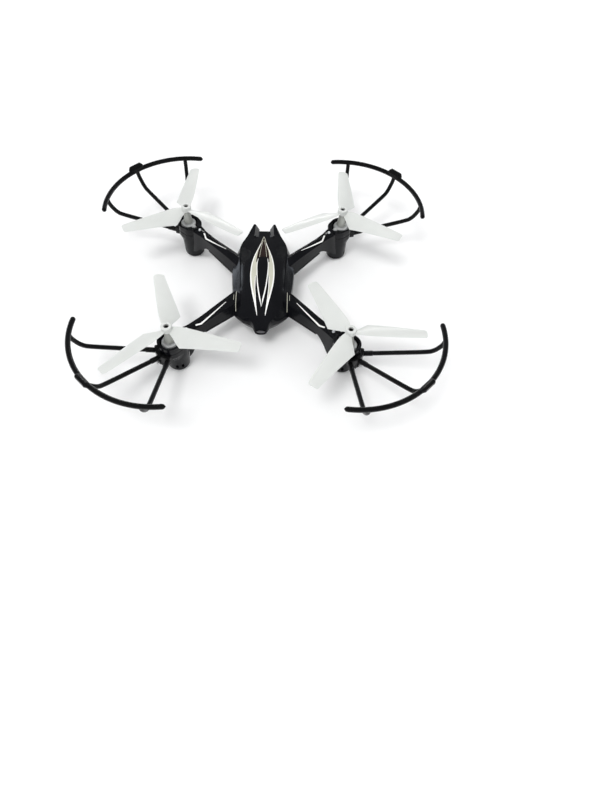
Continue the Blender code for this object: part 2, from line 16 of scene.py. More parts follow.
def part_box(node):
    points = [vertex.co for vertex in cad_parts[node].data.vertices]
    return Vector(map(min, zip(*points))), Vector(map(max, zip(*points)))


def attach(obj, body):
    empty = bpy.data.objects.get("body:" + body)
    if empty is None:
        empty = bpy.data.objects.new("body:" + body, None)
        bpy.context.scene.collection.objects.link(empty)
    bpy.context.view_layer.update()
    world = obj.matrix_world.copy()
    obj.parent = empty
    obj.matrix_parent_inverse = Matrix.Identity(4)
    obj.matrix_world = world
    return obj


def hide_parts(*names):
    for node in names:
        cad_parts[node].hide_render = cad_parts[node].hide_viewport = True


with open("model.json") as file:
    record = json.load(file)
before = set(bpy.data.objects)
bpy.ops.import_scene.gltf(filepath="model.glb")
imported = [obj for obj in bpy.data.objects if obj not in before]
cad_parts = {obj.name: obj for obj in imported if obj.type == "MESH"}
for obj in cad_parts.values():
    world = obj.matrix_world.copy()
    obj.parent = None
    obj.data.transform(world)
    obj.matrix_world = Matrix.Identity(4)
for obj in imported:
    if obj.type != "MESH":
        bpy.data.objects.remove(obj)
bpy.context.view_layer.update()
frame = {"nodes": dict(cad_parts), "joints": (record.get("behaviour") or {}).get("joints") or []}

MM = 0.001
GAP = 0.3  # between pieces that touch
FLOOR_RADIUS = 3000.0
DOME_RADIUS, DOME_THICK = 2900.0, 20.0
JOINTS = {joint["name"]: joint for joint in frame["joints"]}


def in_mm(node):
    """The lowest and highest corners of a CAD node, in millimetres."""
    low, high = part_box(node)
    return low / MM, high / MM


def heights(part):
    """How low and how high a part of the front left corner reaches."""
    return [point.z for point in in_mm(f"{part}_front_left")]


# Places that the CAD model gives
SHAFT = JOINTS["rotor_spin_front_left"]["pos_m"][0] / MM
PINION_AT = (JOINTS["pinion_spin_front_left"]["pos_m"][0] / MM - SHAFT) * math.sqrt(2)
CORNERS = {
    # name: (side in x, side in y, blade angle in degrees, hand of the propeller)
    "front_left": (1, -1, 119.4, -1),
    "front_right": (-1, -1, 103.6, 1),
    "rear_left": (1, 1, 87.0, 1),
    "rear_right": (-1, 1, 88.1, -1),
}
RIM_Z = heights("motor_pod")[1]
HUB_TOP = heights("propeller")[1]
BOSS_BELOW, BOSS_ABOVE = 1.1, 0.6  # how far a spur gear's boss stands out of its disc
GEAR_LOW = heights("spur_gear")[0] + BOSS_BELOW
GEAR_HIGH = heights("spur_gear")[1] - BOSS_ABOVE
SHAFT_LOW, SHAFT_HIGH = heights("prop_shaft")
LED_TOP = heights("led")[1]
LED_AT = 78.4  # along the diagonal
PARTING = in_mm("bottom_shell")[1].z + GAP  # the upper shell's edge; the lower one's is GAP below
DOOR_LOW, DOOR_HIGH = in_mm("battery_door")
NOSE_LOW, NOSE_HIGH = in_mm("nose_lens")
NOSE_Z = (NOSE_LOW.z + NOSE_HIGH.z) / 2


# Making shapes


def placed(name, data):
    """A new object in the scene."""
    thing = bpy.data.objects.new(name, data)
    bpy.context.scene.collection.objects.link(thing)
    return thing


def shift(x, y, z=0.0):
    return Matrix.Translation((x, y, z))


def polar(radius, degrees):
    angle = math.radians(degrees)
    return radius * math.cos(angle), radius * math.sin(angle)


def mesh_of(form, weld=True):
    """The mesh of a bmesh, with its faces turned outwards."""
    if weld:
        bmesh.ops.remove_doubles(form, verts=form.verts, dist=1e-4)
    bmesh.ops.recalc_face_normals(form, faces=form.faces)
    made = bpy.data.meshes.new("form")
    form.to_mesh(made)
    form.free()
    return made


def box(low, high, bevel=0.0, segments=2):
    """A block between two corners, with rounded edges if bevel is given."""
    form = bmesh.new()
    bmesh.ops.create_cube(form, size=1.0)
    bmesh.ops.scale(form, vec=Vector(high) - Vector(low), verts=form.verts)
    bmesh.ops.translate(form, vec=(Vector(high) + Vector(low)) / 2, verts=form.verts)
    if bevel:
        bmesh.ops.bevel(
            form, geom=form.edges, offset=bevel, segments=segments, profile=0.5, affect="EDGES"
        )
    return mesh_of(form)


def turned(profile, sides=48):
    """A profile of (radius, height) points turned about Z. One that starts on the axis also ends
    there; any other is a closed loop."""
    form = bmesh.new()
    rows = []
    for radius, height in profile:
        turns = [2 * math.pi * i / sides for i in range(sides if radius else 1)]
        rows.append([form.verts.new((radius * math.cos(a), radius * math.sin(a), height)) for a in turns])
    if profile[0][0]:
        rows.append(rows[0])
    for row, after in zip(rows, rows[1:]):
        for i in range(sides):
            j = (i + 1) % sides
            around = (row[i % len(row)], row[j % len(row)], after[j % len(after)], after[i % len(after)])
            around = list(dict.fromkeys(around))
            if len(around) > 2:
                form.faces.new(around)
    return mesh_of(form)


def rod(radius, low, high, sides=32, at=(0.0, 0.0)):
    """An upright cylinder between two heights."""
    made = turned(((0.0, high), (radius, high), (radius, low), (0.0, low)), sides)
    return moved(made, shift(*at))


def loft(rings):
    """A closed solid through rings with the same number of points."""
    form = bmesh.new()
    rows = [[form.verts.new(point) for point in ring] for ring in rings]
    for row, after in zip(rows, rows[1:]):
        for i in range(len(row)):
            j = (i + 1) % len(row)
            form.faces.new((row[i], row[j], after[j], after[i]))
    form.faces.new(rows[0])
    form.faces.new(rows[-1])
    return mesh_of(form)


def rounded(points, radii, steps=4, closed=True):
    """A flat outline with each corner turned into an arc of about its radius; 0 keeps it sharp."""
    made = []
    count = len(points)
    for i, (corner, radius) in enumerate(zip(points, radii)):
        corner = Vector(corner)
        if not radius or (not closed and i in (0, count - 1)):
            made.append(tuple(corner))
            continue
        back = Vector(points[i - 1]) - corner
        ahead = Vector(points[(i + 1) % count]) - corner
        reach = min(radius, back.length * 0.45, ahead.length * 0.45)
        start = corner + back.normalized() * reach
        end = corner + ahead.normalized() * reach
        for k in range(steps + 1):
            t = k / steps
            made.append(tuple(start * (1 - t) ** 2 + corner * (2 * t * (1 - t)) + end * t * t))
    return made


def prism(outline, low, high, bevel=0.0):
    """An upright solid on a flat outline, with its top and bottom edges chamfered."""
    middle = Vector((sum(x for x, _ in outline), sum(y for _, y in outline))) / len(outline)
    rings = []
    for shrink, z in ((bevel, low), (0.0, low + bevel), (0.0, high - bevel), (bevel, high)):
        if not bevel and z in (low, high) and rings and rings[-1][0][2] == z:
            continue
        ring = []
        for x, y in outline:
            away = Vector((x, y)) - middle
            away *= 1 - shrink / max(away.length, 1e-6)
            ring.append((middle.x + away.x, middle.y + away.y, z))
        rings.append(ring)
    return loft(rings)


def sweep(path, radius, sides=14, round_ends=True):
    """A round wire along points, with domed ends."""
    path = [Vector(point) for point in path]
    radii = [radius] * len(path)
    if round_ends:
        first, last = (path[0] - path[1]).normalized(), (path[-1] - path[-2]).normalized()
        for turn in (0.55, 0.85, 0.99):
            reach, left = radius * turn, radius * math.sqrt(1 - turn * turn)
            step = reach - radius * (0 if turn == 0.55 else turn - 0.3)
            path = [path[0] + first * step, *path, path[-1] + last * step]
            radii = [left, *radii, left]
    rings = []
    side = None
    for i, point in enumerate(path):
        ahead = (path[min(i + 1, len(path) - 1)] - path[max(i - 1, 0)]).normalized()
        if side is None:
            side = ahead.orthogonal().normalized()
        side = (side - ahead * side.dot(ahead)).normalized()
        other = ahead.cross(side)
        turns = [2 * math.pi * k / sides for k in range(sides)]
        rings.append([point + (side * math.cos(a) + other * math.sin(a)) * radii[i] for a in turns])
    return loft(rings)


def smooth_path(points, spacing=2.0):
    """Points along a smooth curve through the given ones (a Catmull-Rom curve)."""
    points = [Vector(point) for point in points]
    ends = [points[0] * 2 - points[1], *points, points[-1] * 2 - points[-2]]
    made = []
    for a, b, c, d in zip(ends, ends[1:], ends[2:], ends[3:]):
        count = max(2, round((c - b).length / spacing))
        for k in range(count):
            t = k / count
            made.append((b * 2 + (c - a) * t + (a * 2 - b * 5 + c * 4 - d) * t**2
                         + (b * 3 - a - c * 3 + d) * t**3) / 2)
    made.append(points[-1])
    return made


def between(keys, values, x):
    """A smooth curve through the values that never overshoots them (a monotone cubic)."""
    steps = [b - a for a, b in zip(keys, keys[1:])]
    rates = [(b - a) / step for a, b, step in zip(values, values[1:], steps)]
    slopes = [rates[0]]
    for before, after in zip(rates, rates[1:]):
        slopes.append(2 * before * after / (before + after) if before * after > 0 else 0.0)
    slopes.append(rates[-1])
    i = max(k for k in range(len(steps)) if k == 0 or keys[k] <= x)
    t, h = (x - keys[i]) / steps[i], steps[i]
    start = values[i] * (2 * t**3 - 3 * t**2 + 1) + slopes[i] * h * (t**3 - 2 * t**2 + t)
    return start + values[i + 1] * (3 * t**2 - 2 * t**3) + slopes[i + 1] * h * (t**3 - t**2)


def refined(stations, sharp, spacing):
    """Stations filled in along their first column, smooth everywhere but at the sharp ones."""
    last = len(stations) - 1
    breaks = [i for i, one in enumerate(stations) if i in (0, last) or one[0] in sharp]
    rows = []
    for first, end in zip(breaks, breaks[1:]):
        run = stations[first:end + 1]
        keys = [one[0] for one in run]
        count = max(1, round((keys[-1] - keys[0]) / spacing))
        for k in range(count):
            x = keys[0] + (keys[-1] - keys[0]) * k / count
            rows.append([x] + [between(keys, [one[c] for one in run], x) for c in range(1, len(run[0]))])
    rows.append(list(stations[-1]))
    return rows


def moved(mesh, matrix):
    made = mesh.copy()
    made.transform(matrix)
    if matrix.determinant() < 0:
        made.flip_normals()
    return made


def applied(thing, tools=()):
    """The mesh that an object's modifiers make. The object and its tools are removed."""
    graph = bpy.context.evaluated_depsgraph_get()
    made = bpy.data.meshes.new_from_object(thing.evaluated_get(graph))
    for extra in (thing, *tools):
        bpy.data.objects.remove(extra, do_unlink=True)
    return made


def combined(base, joined=(), cut=()):
    """The mesh left when meshes are joined to a base and then others are cut from it."""
    thing = placed("base", base)
    tools = []
    for operation, meshes in (("UNION", joined), ("DIFFERENCE", cut)):
        for mesh in meshes:
            tool = placed("tool", mesh)
            tools.append(tool)
            step = thing.modifiers.new("step", "BOOLEAN")
            step.operation = operation
            step.object = tool
    return applied(thing, tools)


def softened(mesh, width, segments=2, angle=35):
    """The mesh with its sharp edges bevelled."""
    thing = placed("soft", mesh)
    step = thing.modifiers.new("bevel", "BEVEL")
    step.width = width
    step.segments = segments
    step.limit_method = "ANGLE"
    step.angle_limit = math.radians(angle)
    return applied(thing)


def publish(name, mesh, look, replaces=(), matrix=None, sharp=32, body="airframe"):
    """Turn a millimetre mesh into a finished piece that rides on a CAD body."""
    made = mesh.copy()
    if matrix is not None:
        made = moved(made, matrix)
    made.transform(Matrix.Scale(MM, 4))
    made.name = name
    made.materials.clear()
    made.materials.append(look)
    made.shade_smooth()
    made.set_sharp_from_angle(angle=math.radians(sharp))
    piece = placed(name, made)
    step = piece.modifiers.new("normals", "WEIGHTED_NORMAL")
    step.keep_sharp = True
    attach(piece, body)
    if replaces:
        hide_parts(*replaces)
    return piece


# Materials


def plastic(name, colour, rough, grain=900.0, bump=0.02, spread=0.25, tint=None, coat=0.0, under=0.0,
            mirror=0.5):
    """Moulded plastic: a colour that drifts a little, uneven gloss, and a fine surface texture."""
    made = bpy.data.materials.new(name)
    made.use_nodes = True
    nodes, links = made.node_tree.nodes, made.node_tree.links
    shader = nodes["Principled BSDF"]
    place = nodes.new("ShaderNodeTexCoord")
    broad, fine = nodes.new("ShaderNodeTexNoise"), nodes.new("ShaderNodeTexNoise")
    for noise, scale, detail in ((broad, 55.0, 5.0), (fine, grain, 3.0)):
        noise.inputs["Scale"].default_value = scale
        noise.inputs["Detail"].default_value = detail
        links.new(place.outputs["Object"], noise.inputs["Vector"])
    ramp = nodes.new("ShaderNodeValToRGB")
    shades = (colour, tint or [c * 1.25 + 0.002 for c in colour])
    for element, position, shade in zip(ramp.color_ramp.elements, (0.3, 0.7), shades):
        element.position = position
        element.color = (*shade, 1.0)
    links.new(broad.outputs["Fac"], ramp.inputs["Fac"])
    links.new(ramp.outputs["Color"], shader.inputs["Base Color"])
    gloss = nodes.new("ShaderNodeMapRange")
    gloss.inputs["To Min"].default_value = rough * (1 - spread)
    gloss.inputs["To Max"].default_value = rough * (1 + spread)
    links.new(broad.outputs["Fac"], gloss.inputs["Value"])
    links.new(gloss.outputs["Result"], shader.inputs["Roughness"])
    texture = nodes.new("ShaderNodeBump")
    texture.inputs["Strength"].default_value = bump
    texture.inputs["Distance"].default_value = 0.0002
    links.new(fine.outputs["Fac"], texture.inputs["Height"])
    links.new(texture.outputs["Normal"], shader.inputs["Normal"])
    for socket, value in (
        ("Specular IOR Level", mirror), ("Coat Weight", coat), ("Coat Roughness", 0.05),
        ("Subsurface Weight", under), ("Subsurface Radius", (1.0, 1.0, 1.0)), ("Subsurface Scale", 0.002),
    ):
        shader.inputs[socket].default_value = value
    return made


def metal(name, colour, rough, streak=(1.0, 1.0, 12.0), scale=260.0, bump=0.05):
    """Machined or plated metal, streaked where the three streak scales differ."""
    made = plastic(name, colour, rough, scale, bump)
    nodes, links = made.node_tree.nodes, made.node_tree.links
    shader = nodes["Principled BSDF"]
    shader.inputs["Metallic"].default_value = 1.0
    stretch = nodes.new("ShaderNodeMapping")
    stretch.inputs["Scale"].default_value = streak
    place = next(node for node in nodes if node.bl_idname == "ShaderNodeTexCoord")
    links.new(place.outputs["Object"], stretch.inputs["Vector"])
    for node in nodes:
        if node.bl_idname == "ShaderNodeTexNoise":
            links.new(stretch.outputs["Vector"], node.inputs["Vector"])
    return made


def clear(name, colour):
    """Partly clear moulded plastic, cloudy enough that a pale colour shows as a white dot: a painted
    glint.
    """
    made = plastic(name, colour, 0.04, 500.0, 0.01, 0.3)
    shader = made.node_tree.nodes["Principled BSDF"]
    shader.inputs["Transmission Weight"].default_value = 0.4
    shader.inputs["IOR"].default_value = 1.49
    return made


GLOSS_BLACK = plastic("gloss black ABS", (0.0035, 0.0037, 0.005), 0.14, 700.0, 0.012, 0.35, mirror=0.22)
NYLON_BLACK = plastic("black nylon", (0.003, 0.003, 0.0033), 0.27, 2600.0, 0.12, 0.2, mirror=0.22)
BLADE_WHITE = plastic(
    "translucent white plastic", (0.635, 0.65, 0.63), 0.3, 1500.0, 0.03, 0.2,
    (0.67, 0.685, 0.665), under=0.35
)
# The neck is the blades' translucent plastic painted darker: painted shade where the blades and hub shade
# it.
NECK_PAINTED_SHADE = plastic(
    "blade plastic with painted shade", (0.40, 0.41, 0.38), 0.25, 1500.0, 0.03, 0.2, (0.45, 0.46, 0.43), under=0.3
)
GEAR_NYLON = plastic(
    "natural nylon", (0.50, 0.51, 0.51), 0.38, 2200.0, 0.08, 0.2, (0.58, 0.59, 0.59), under=0.25
)
STEEL = metal("plated steel", (0.55, 0.55, 0.56), 0.28)
# Steel darker than the plated screws, used for the hub screws.
STEEL_DARK = metal("dark steel", (0.05, 0.045, 0.045), 0.35)
BRONZE = metal("sintered bronze", (0.55, 0.36, 0.16), 0.45, (1.0, 1.0, 1.0), 1500.0, 0.2)
LENS_DARK = plastic("smoked lens", (0.004, 0.004, 0.007), 0.04, 400.0, 0.0, 0.3, (0.01, 0.008, 0.02), 1.0)
# The lamp lens is near white and only partly clear, which is a painted glint.
LED_PAINTED_GLINT = clear("lens whitened as a painted glint", (0.93, 0.95, 0.97))
BOARD = plastic("solder mask", (0.015, 0.13, 0.045), 0.35, 900.0, 0.1, 0.2, (0.02, 0.17, 0.06))
WRAP = plastic("battery wrap", (0.30, 0.33, 0.40), 0.3, 500.0, 0.15, 0.2, (0.36, 0.39, 0.46))
# Champagne print on the emblem; the same colour on the root beads is a painted highlight.
SILVER_PRINT_AND_HIGHLIGHT = plastic(
    "champagne print and painted highlight", (0.50, 0.50, 0.42), 0.22, 3200.0, 0.03, 0.2, (0.60, 0.59, 0.49), coat=0.4
)
WHITE_PRINT = plastic("white print", (0.84, 0.84, 0.82), 0.25, 2400.0, 0.02, 0.2, coat=0.4)
BROWN_PRINT = plastic("brown print", (0.012, 0.005, 0.004), 0.16, 2400.0, 0.02, 0.2, (0.02, 0.008, 0.006))


# Places at a corner


def corner_matrix(corner):
    """The frame of one corner: the propeller shaft on Z and +X outwards along the diagonal."""
    side_x, side_y = CORNERS[corner][:2]
    return shift(side_x * SHAFT, side_y * SHAFT) @ Matrix.Rotation(math.atan2(side_y, side_x), 4, "Z")


def diagonal_matrix(corner):
    """Turns (along the diagonal, offset towards the tail, height) into the quadcopter's axes."""
    side_x, side_y = CORNERS[corner][:2]
    along = Vector((side_x, side_y, 0.0)).normalized()
    across = Vector((-side_x * side_y, 1.0, 0.0)).normalized()
    return Matrix((
        (along.x, across.x, 0.0, 0.0), (along.y, across.y, 0.0, 0.0),
        (0.0, 0.0, 1.0, 0.0), (0.0, 0.0, 0.0, 1.0),
    ))


# The camera, the light and the floor


CAMERA_TURN, CAMERA_RISE, CAMERA_ROLL = -2.449, 56.296, 2.869  # degrees
CAMERA_PLACE = (0.01872, -0.3355, 0.36285)  # metres
CAMERA_LENS = 25.99


def camera():
    turn, rise, roll = math.radians(CAMERA_TURN), math.radians(CAMERA_RISE), math.radians(CAMERA_ROLL)
    back = Vector((
        math.sin(turn) * math.cos(rise), -math.cos(turn) * math.cos(rise), math.sin(rise),
    ))
    level = Vector((math.cos(turn), math.sin(turn), 0.0))
    over = back.cross(level)
    across = level * math.cos(roll) + over * math.sin(roll)
    up = over * math.cos(roll) - level * math.sin(roll)
    data = bpy.data.cameras.new("camera")
    data.lens = CAMERA_LENS
    data.clip_start = 0.01
    thing = placed("camera", data)
    thing.matrix_world = Matrix((across, up, back)).transposed().to_4x4()
    thing.location = CAMERA_PLACE
    bpy.context.scene.camera = thing


def lamp(name, kind, place, energy):
    """A light that points at the origin."""
    data = bpy.data.lights.new(name, kind)
    data.energy = energy
    thing = placed(name, data)
    thing.location = place
    thing.rotation_euler = (-Vector(place)).to_track_quat("-Z", "Y").to_euler()
    return thing


def softbox(name, place, size, power, colour):
    """An area light that adds no diffuse light, so it shows as a reflection."""
    thing = lamp(name, "AREA", place, power)
    thing.data.shape = "RECTANGLE"
    thing.data.size, thing.data.size_y = size
    thing.data.color = colour
    thing.visible_diffuse = False


def sun(name, place, strength, angle):
    """A broad even light from one direction, left out of reflections so that gloss stays dark."""
    thing = lamp(name, "SUN", place, strength)
    thing.data.angle = math.radians(angle)
    thing.visible_glossy = False


def backdrop():
    """A pale dome behind everything. It neither lights nor shades the quadcopter."""
    arc = [polar(1.0, a) for a in range(0, 90, 6)]
    inner = [(DOME_RADIUS * x, DOME_RADIUS * z) for x, z in arc] + [(0.0, DOME_RADIUS)]
    far = DOME_RADIUS + DOME_THICK
    outer = [(far * x, far * z) for x, z in arc] + [(0.0, far)]
    dome = turned(inner[::-1] + outer, 64)
    dome.transform(Matrix.Scale(MM, 4))
    look = plastic("pale backdrop", (0.9, 0.9, 0.9), 0.9)
    shader = look.node_tree.nodes["Principled BSDF"]
    shader.inputs["Emission Color"].default_value = (1.0, 1.0, 1.0, 1.0)
    shader.inputs["Emission Strength"].default_value = 0.7
    dome.materials.append(look)
    dome.shade_smooth()
    thing = placed("backdrop", dome)
    thing.visible_diffuse = False
    thing.visible_glossy = False
    thing.visible_transmission = False
    thing.visible_shadow = False


def studio():
    world = bpy.data.worlds.new("studio")
    bpy.context.scene.world = world
    world.use_nodes = True
    background = world.node_tree.nodes["Background"]
    background.inputs["Color"].default_value = (0.96, 0.98, 1.0, 1.0)
    background.inputs["Strength"].default_value = 0.22
    sun("key", (-0.30, -0.42, 1.0), 1.2, 20.0)
    sun("fill", (0.0, 0.1, 1.0), 2.1, 165.0)
    softbox("left_panel", (0.95, 0.80, 0.10), (0.6, 0.24), 1.1, (0.82, 0.90, 1.0))
    softbox("right_panel", (-0.95, 0.80, 0.10), (0.6, 0.24), 1.3, (0.82, 0.90, 1.0))
    softbox("rear_edge", (0.0, 1.25, 0.28), (0.9, 0.05), 3.0, (1.0, 1.0, 1.0))
    floor_material = plastic("pale floor", (0.93, 0.93, 0.93), 0.8, 300.0, 0.02, 0.1, (0.94, 0.94, 0.94))
    floor = turned(((0.0, 0.0), (FLOOR_RADIUS, 0.0), (FLOOR_RADIUS, -4.0), (0.0, -4.0)), 96)
    floor.transform(Matrix.Scale(MM, 4))
    floor.materials.append(floor_material)
    thing = placed("floor", floor)
    backdrop()
    bpy.context.scene.view_settings.view_transform = "Standard"


# The two body shells. Stations run from nose to tail: y, the canopy's height in the middle, then the
# upper half outline as x, z pairs (canopy edge, flank, crest, facet edge), half width at the parting
# line, belly.

BODY_STATIONS = (
    (-47.6, 22.8, 1.9, 22.7, 3.2, 22.5, 4.4, 22.0, 4.9, 21.0, 5.0, 17.2),
    (-46.6, 23.8, 2.2, 23.7, 3.6, 23.4, 4.9, 22.8, 5.6, 21.4, 5.7, 16.2),
    (-43.6, 25.8, 2.9, 25.4, 4.6, 24.9, 6.0, 24.1, 6.6, 21.8, 6.7, 15.0),
    (-40.4, 27.4, 3.7, 27.0, 5.7, 26.2, 8.0, 25.1, 8.8, 22.2, 9.0, 14.2),
    (-38.6, 28.2, 4.2, 27.8, 7.0, 26.9, 9.8, 25.7, 13.6, 22.4, 14.2, 13.8),
    (-30.5, 31.2, 6.4, 30.4, 10.6, 29.0, 14.8, 26.8, 21.0, 22.8, 22.0, 9.4),
    (-22.0, 33.2, 7.9, 32.4, 12.4, 30.6, 16.8, 27.6, 22.2, 23.2, 22.8, 8.0),
    (-12.0, 34.8, 9.0, 34.0, 13.6, 31.8, 17.8, 28.4, 23.2, 23.6, 23.8, 8.0),
    (0.0, 36.0, 9.8, 35.1, 14.4, 32.7, 18.6, 29.0, 24.8, 24.0, 25.2, 8.0),
    (14.0, 36.4, 9.9, 35.4, 14.8, 33.1, 19.2, 29.6, 25.6, 24.2, 25.8, 8.0),
    (26.0, 36.0, 8.6, 35.2, 14.4, 33.4, 19.8, 30.4, 25.2, 24.4, 25.6, 8.0),
    (33.0, 35.5, 7.5, 34.9, 13.8, 33.5, 19.8, 31.0, 23.0, 24.8, 23.4, 8.0),
    (38.0, 35.1, 6.6, 34.6, 12.8, 33.6, 18.9, 31.4, 20.5, 25.2, 20.8, 8.0),
    (46.4, 34.2, 5.3, 33.8, 9.6, 33.7, 14.9, 32.4, 16.3, 26.0, 16.5, 9.0),
    (47.8, 29.2, 4.7, 29.2, 8.4, 33.6, 14.2, 32.6, 15.6, 26.2, 15.8, 9.4),
    (60.5, 28.4, 4.5, 28.4, 7.6, 34.2, 9.2, 34.5, 9.6, 28.4, 9.8, 15.0),
)
SHARP_STATIONS = (-38.6, 46.4, 47.8)
TROUGH_Y = 47.0
GROOVE_RANGE = (-12.0, 29.0)  # where a groove parts the canopy from the side facets
GROOVE_DEPTH = 0.6
WALL = 1.6
FLOOR = 2.9
CASE_SCREWS = {
    f"{end}_{name}": (side * 14.6, y)
    for end, y in (("front", -23.0), ("rear", 22.0)) for side, name in ((1, "left"), (-1, "right"))
}
SWITCH_Y = -22.5
DOOR_RAIL = 1.5  # how far each edge of the door reaches into its groove
NOSE_BORE = (4.3, 2.5, -50.0, -43.0)  # half width, half height, front, back
NOTCH_X, NOTCH_FRONT, NOTCH_BACK = 4.6, 58.5, 66.0  # the slot in the tail

# Arms: distance along the diagonal, then offset, height pairs round the section, where the offset
# is positive towards the tail: rear foot, rear edge, ridge, front edge, front foot.
ARM_STATIONS = (
    (24.0, 7.0, 20.3, 6.6, 28.6, 3.0, 29.8, -3.4, 28.0, -7.6, 20.3),
    (44.0, 5.4, 20.3, 5.0, 29.4, 2.2, 30.4, -3.0, 28.6, -5.6, 20.3),
    (65.0, 4.0, 20.3, 3.6, 29.8, 1.4, 30.6, -3.2, 28.9, -3.9, 20.3),
    (73.0, 4.4, 17.0, 3.6, 30.0, 0.8, 30.7, -3.4, 29.2, -4.8, 16.0),
    (81.0, 5.9, 11.0, 4.8, 30.2, 0.2, 30.8, -4.4, 29.6, -6.2, 9.0),
    (88.0, 6.2, 7.0, 5.0, 30.3, 0.0, 30.9, -5.0, 30.1, -6.2, 6.0),
)


def pairs(row):
    return [Vector(pair) for pair in zip(row[0::2], row[1::2])]


def mirrored(half, y):
    """A ring across the body from the (x, z) points of its left half, which starts on the middle."""
    left = [(x, y, z) for x, z in half]
    return left[::-1] + [(-x, y, z) for x, _, z in left[1:]]


def groove_depth(y):
    """The groove's depth along the body, easing out to nothing at both ends."""
    start, end = GROOVE_RANGE
    return GROOVE_DEPTH * max(0.0, min(1.0, (y - start) / 3.0, (end - y) / 6.0))


def upper_ring(row):
    y = row[0]
    middle, edge, flank, crest, facet = pairs((0.0, *row[1:10]))
    inwards = (flank - crest).normalized()
    below = Vector((inwards.y, -inwards.x)) * groove_depth(y)
    inwards *= min(1.0, (flank - crest).length * 0.3)
    soft = 5.0 if y < TROUGH_Y else 0.35
    half = [(0.0, middle.y)]
    half += rounded([middle, edge, flank, crest], [0, soft, soft, 0], 6, closed=False)[1:-1]
    half += [tuple(crest + inwards * 1.5), tuple(crest + inwards * 1.15 - below),
             tuple(crest + inwards * 0.55 - below)]
    half += rounded([crest + inwards * 0.5, crest, facet, Vector((row[10], PARTING))],
                    [0, 0.6, 0.7, 0], 3, closed=False)[1:]
    return mirrored(half, y)


def lower_ring(row):
    y, width, belly = row[0], row[10], row[11]
    top = PARTING - GAP
    bilge = belly + (top - belly) * 0.45
    half = [(0.0, belly), (width * 0.56, belly), (width * 0.84, bilge), (width, top)]
    half = rounded([Vector(one) for one in half], [0, 3.0, 3.0, 0], 5, closed=False)
    return mirrored(half, y)


def hollow(upper):
    """The space inside one half of the body."""
    rings = []
    for row in BODY_STATIONS:
        y, width, belly = row[0], row[10], row[11]
        if not (-42.0 if upper else -36.0) < y < TROUGH_Y:
            continue
        if upper:
            half = [(max(x - WALL, 0.0), z - WALL - 0.3) for x, z in pairs((0.0, *row[1:10]))]
            half += [(width - WALL, PARTING + 1.0), (width - WALL, PARTING - 2.0)]
        else:
            bilge = belly + (PARTING - belly) * 0.45
            half = [(0.0, belly + FLOOR), (width * 0.56 - WALL, belly + FLOOR),
                    (width * 0.84 - WALL, bilge + FLOOR), (width - WALL, PARTING - 1.0),
                    (width - WALL, PARTING + 2.0)]
        rings.append(mirrored(half, y))
    return loft(rings)


def arm_ring(row):
    """A section of an arm, with a thin rim along its rear edge."""
    foot, rear, ridge, front, low = pairs(row[1:])
    drop = (ridge - rear).normalized()
    corners = [
        foot, rear, rear + drop * 1.25, rear + drop * 1.45 - Vector((0.0, 0.45)),
        rear + drop * 1.9 - Vector((0.0, 0.4)), ridge, front, low,
    ]
    radii = [0, 1.4, 0.2, 0.1, 0.1, 1.0, 0.8, 0]
    return [(row[0], across, z) for across, z in rounded(corners, radii, 4)]


def arm(corner):
    rows = refined(ARM_STATIONS, (), 2.0)
    return moved(loft([arm_ring(row) for row in rows]), diagonal_matrix(corner))


def nose_place(y):
    """Turns +Z forwards, at a place along the nose's middle."""
    return shift(0.0, y, NOSE_Z) @ Matrix.Rotation(math.pi / 2, 4, "X")


def nose_bar(radius_x, radius_z, front, back):
    """An oval bar along Y at the nose."""
    bar = turned(((0.0, 1.0), (1.0, 1.0), (1.0, -1.0), (0.0, -1.0)), 40)
    size = Matrix.Diagonal((radius_x, radius_z, (back - front) / 2, 1.0))
    return moved(bar, nose_place((front + back) / 2) @ size)


def top_shell():
    outer = loft([upper_ring(row) for row in refined(BODY_STATIONS, SHARP_STATIONS, 1.6)])
    cuts = [hollow(True)]
    for corner in CORNERS:
        spot = diagonal_matrix(corner) @ Vector((LED_AT, 0.0, 0.0))
        cuts.append(moved(pod_envelope(GAP), corner_matrix(corner)))
        cuts.append(rod(1.45, 28.2, 34.0, 24, spot[:2]))
    cuts.append(nose_bar(*NOSE_BORE))
    cuts.append(box((-NOTCH_X, NOTCH_FRONT, 16.0), (NOTCH_X, NOTCH_BACK, 40.0), 0.3))
    cuts += [box((side * 6.2 - 1.9, 43.6, 32.3), (side * 6.2 + 1.9, 47.2, 36.0), 0.3) for side in (1, -1)]
    mesh = combined(outer, [arm(corner) for corner in CORNERS], cuts)
    return publish("top_cover", mesh, GLOSS_BLACK, ("top_shell",))


def arm_cover(corner):
    """The underside of an arm, with a shallow recess crossed by ribs."""
    top, low = PARTING - GAP, PARTING - GAP - WALL
    rings = []
    for along, rear, front in ((22.0, 7.2, -7.8), (64.0, 4.0, -3.9)):
        outline = [(rear, top), (rear, low + 0.5), (rear - 0.5, low),
                   (front + 0.5, low), (front, low + 0.5), (front, top)]
        rings.append([(along, across, z) for across, z in outline])
    cuts = []
    for i in range(5):
        start = 29.0 + i * 6.6
        half = 3.9 - i * 0.42
        cuts.append(box((start, -half - 0.2, low - 1.0), (start + 5.4, half - 0.2, low + 0.6), 0.25))
    return moved(combined(loft(rings), cut=cuts), diagonal_matrix(corner))


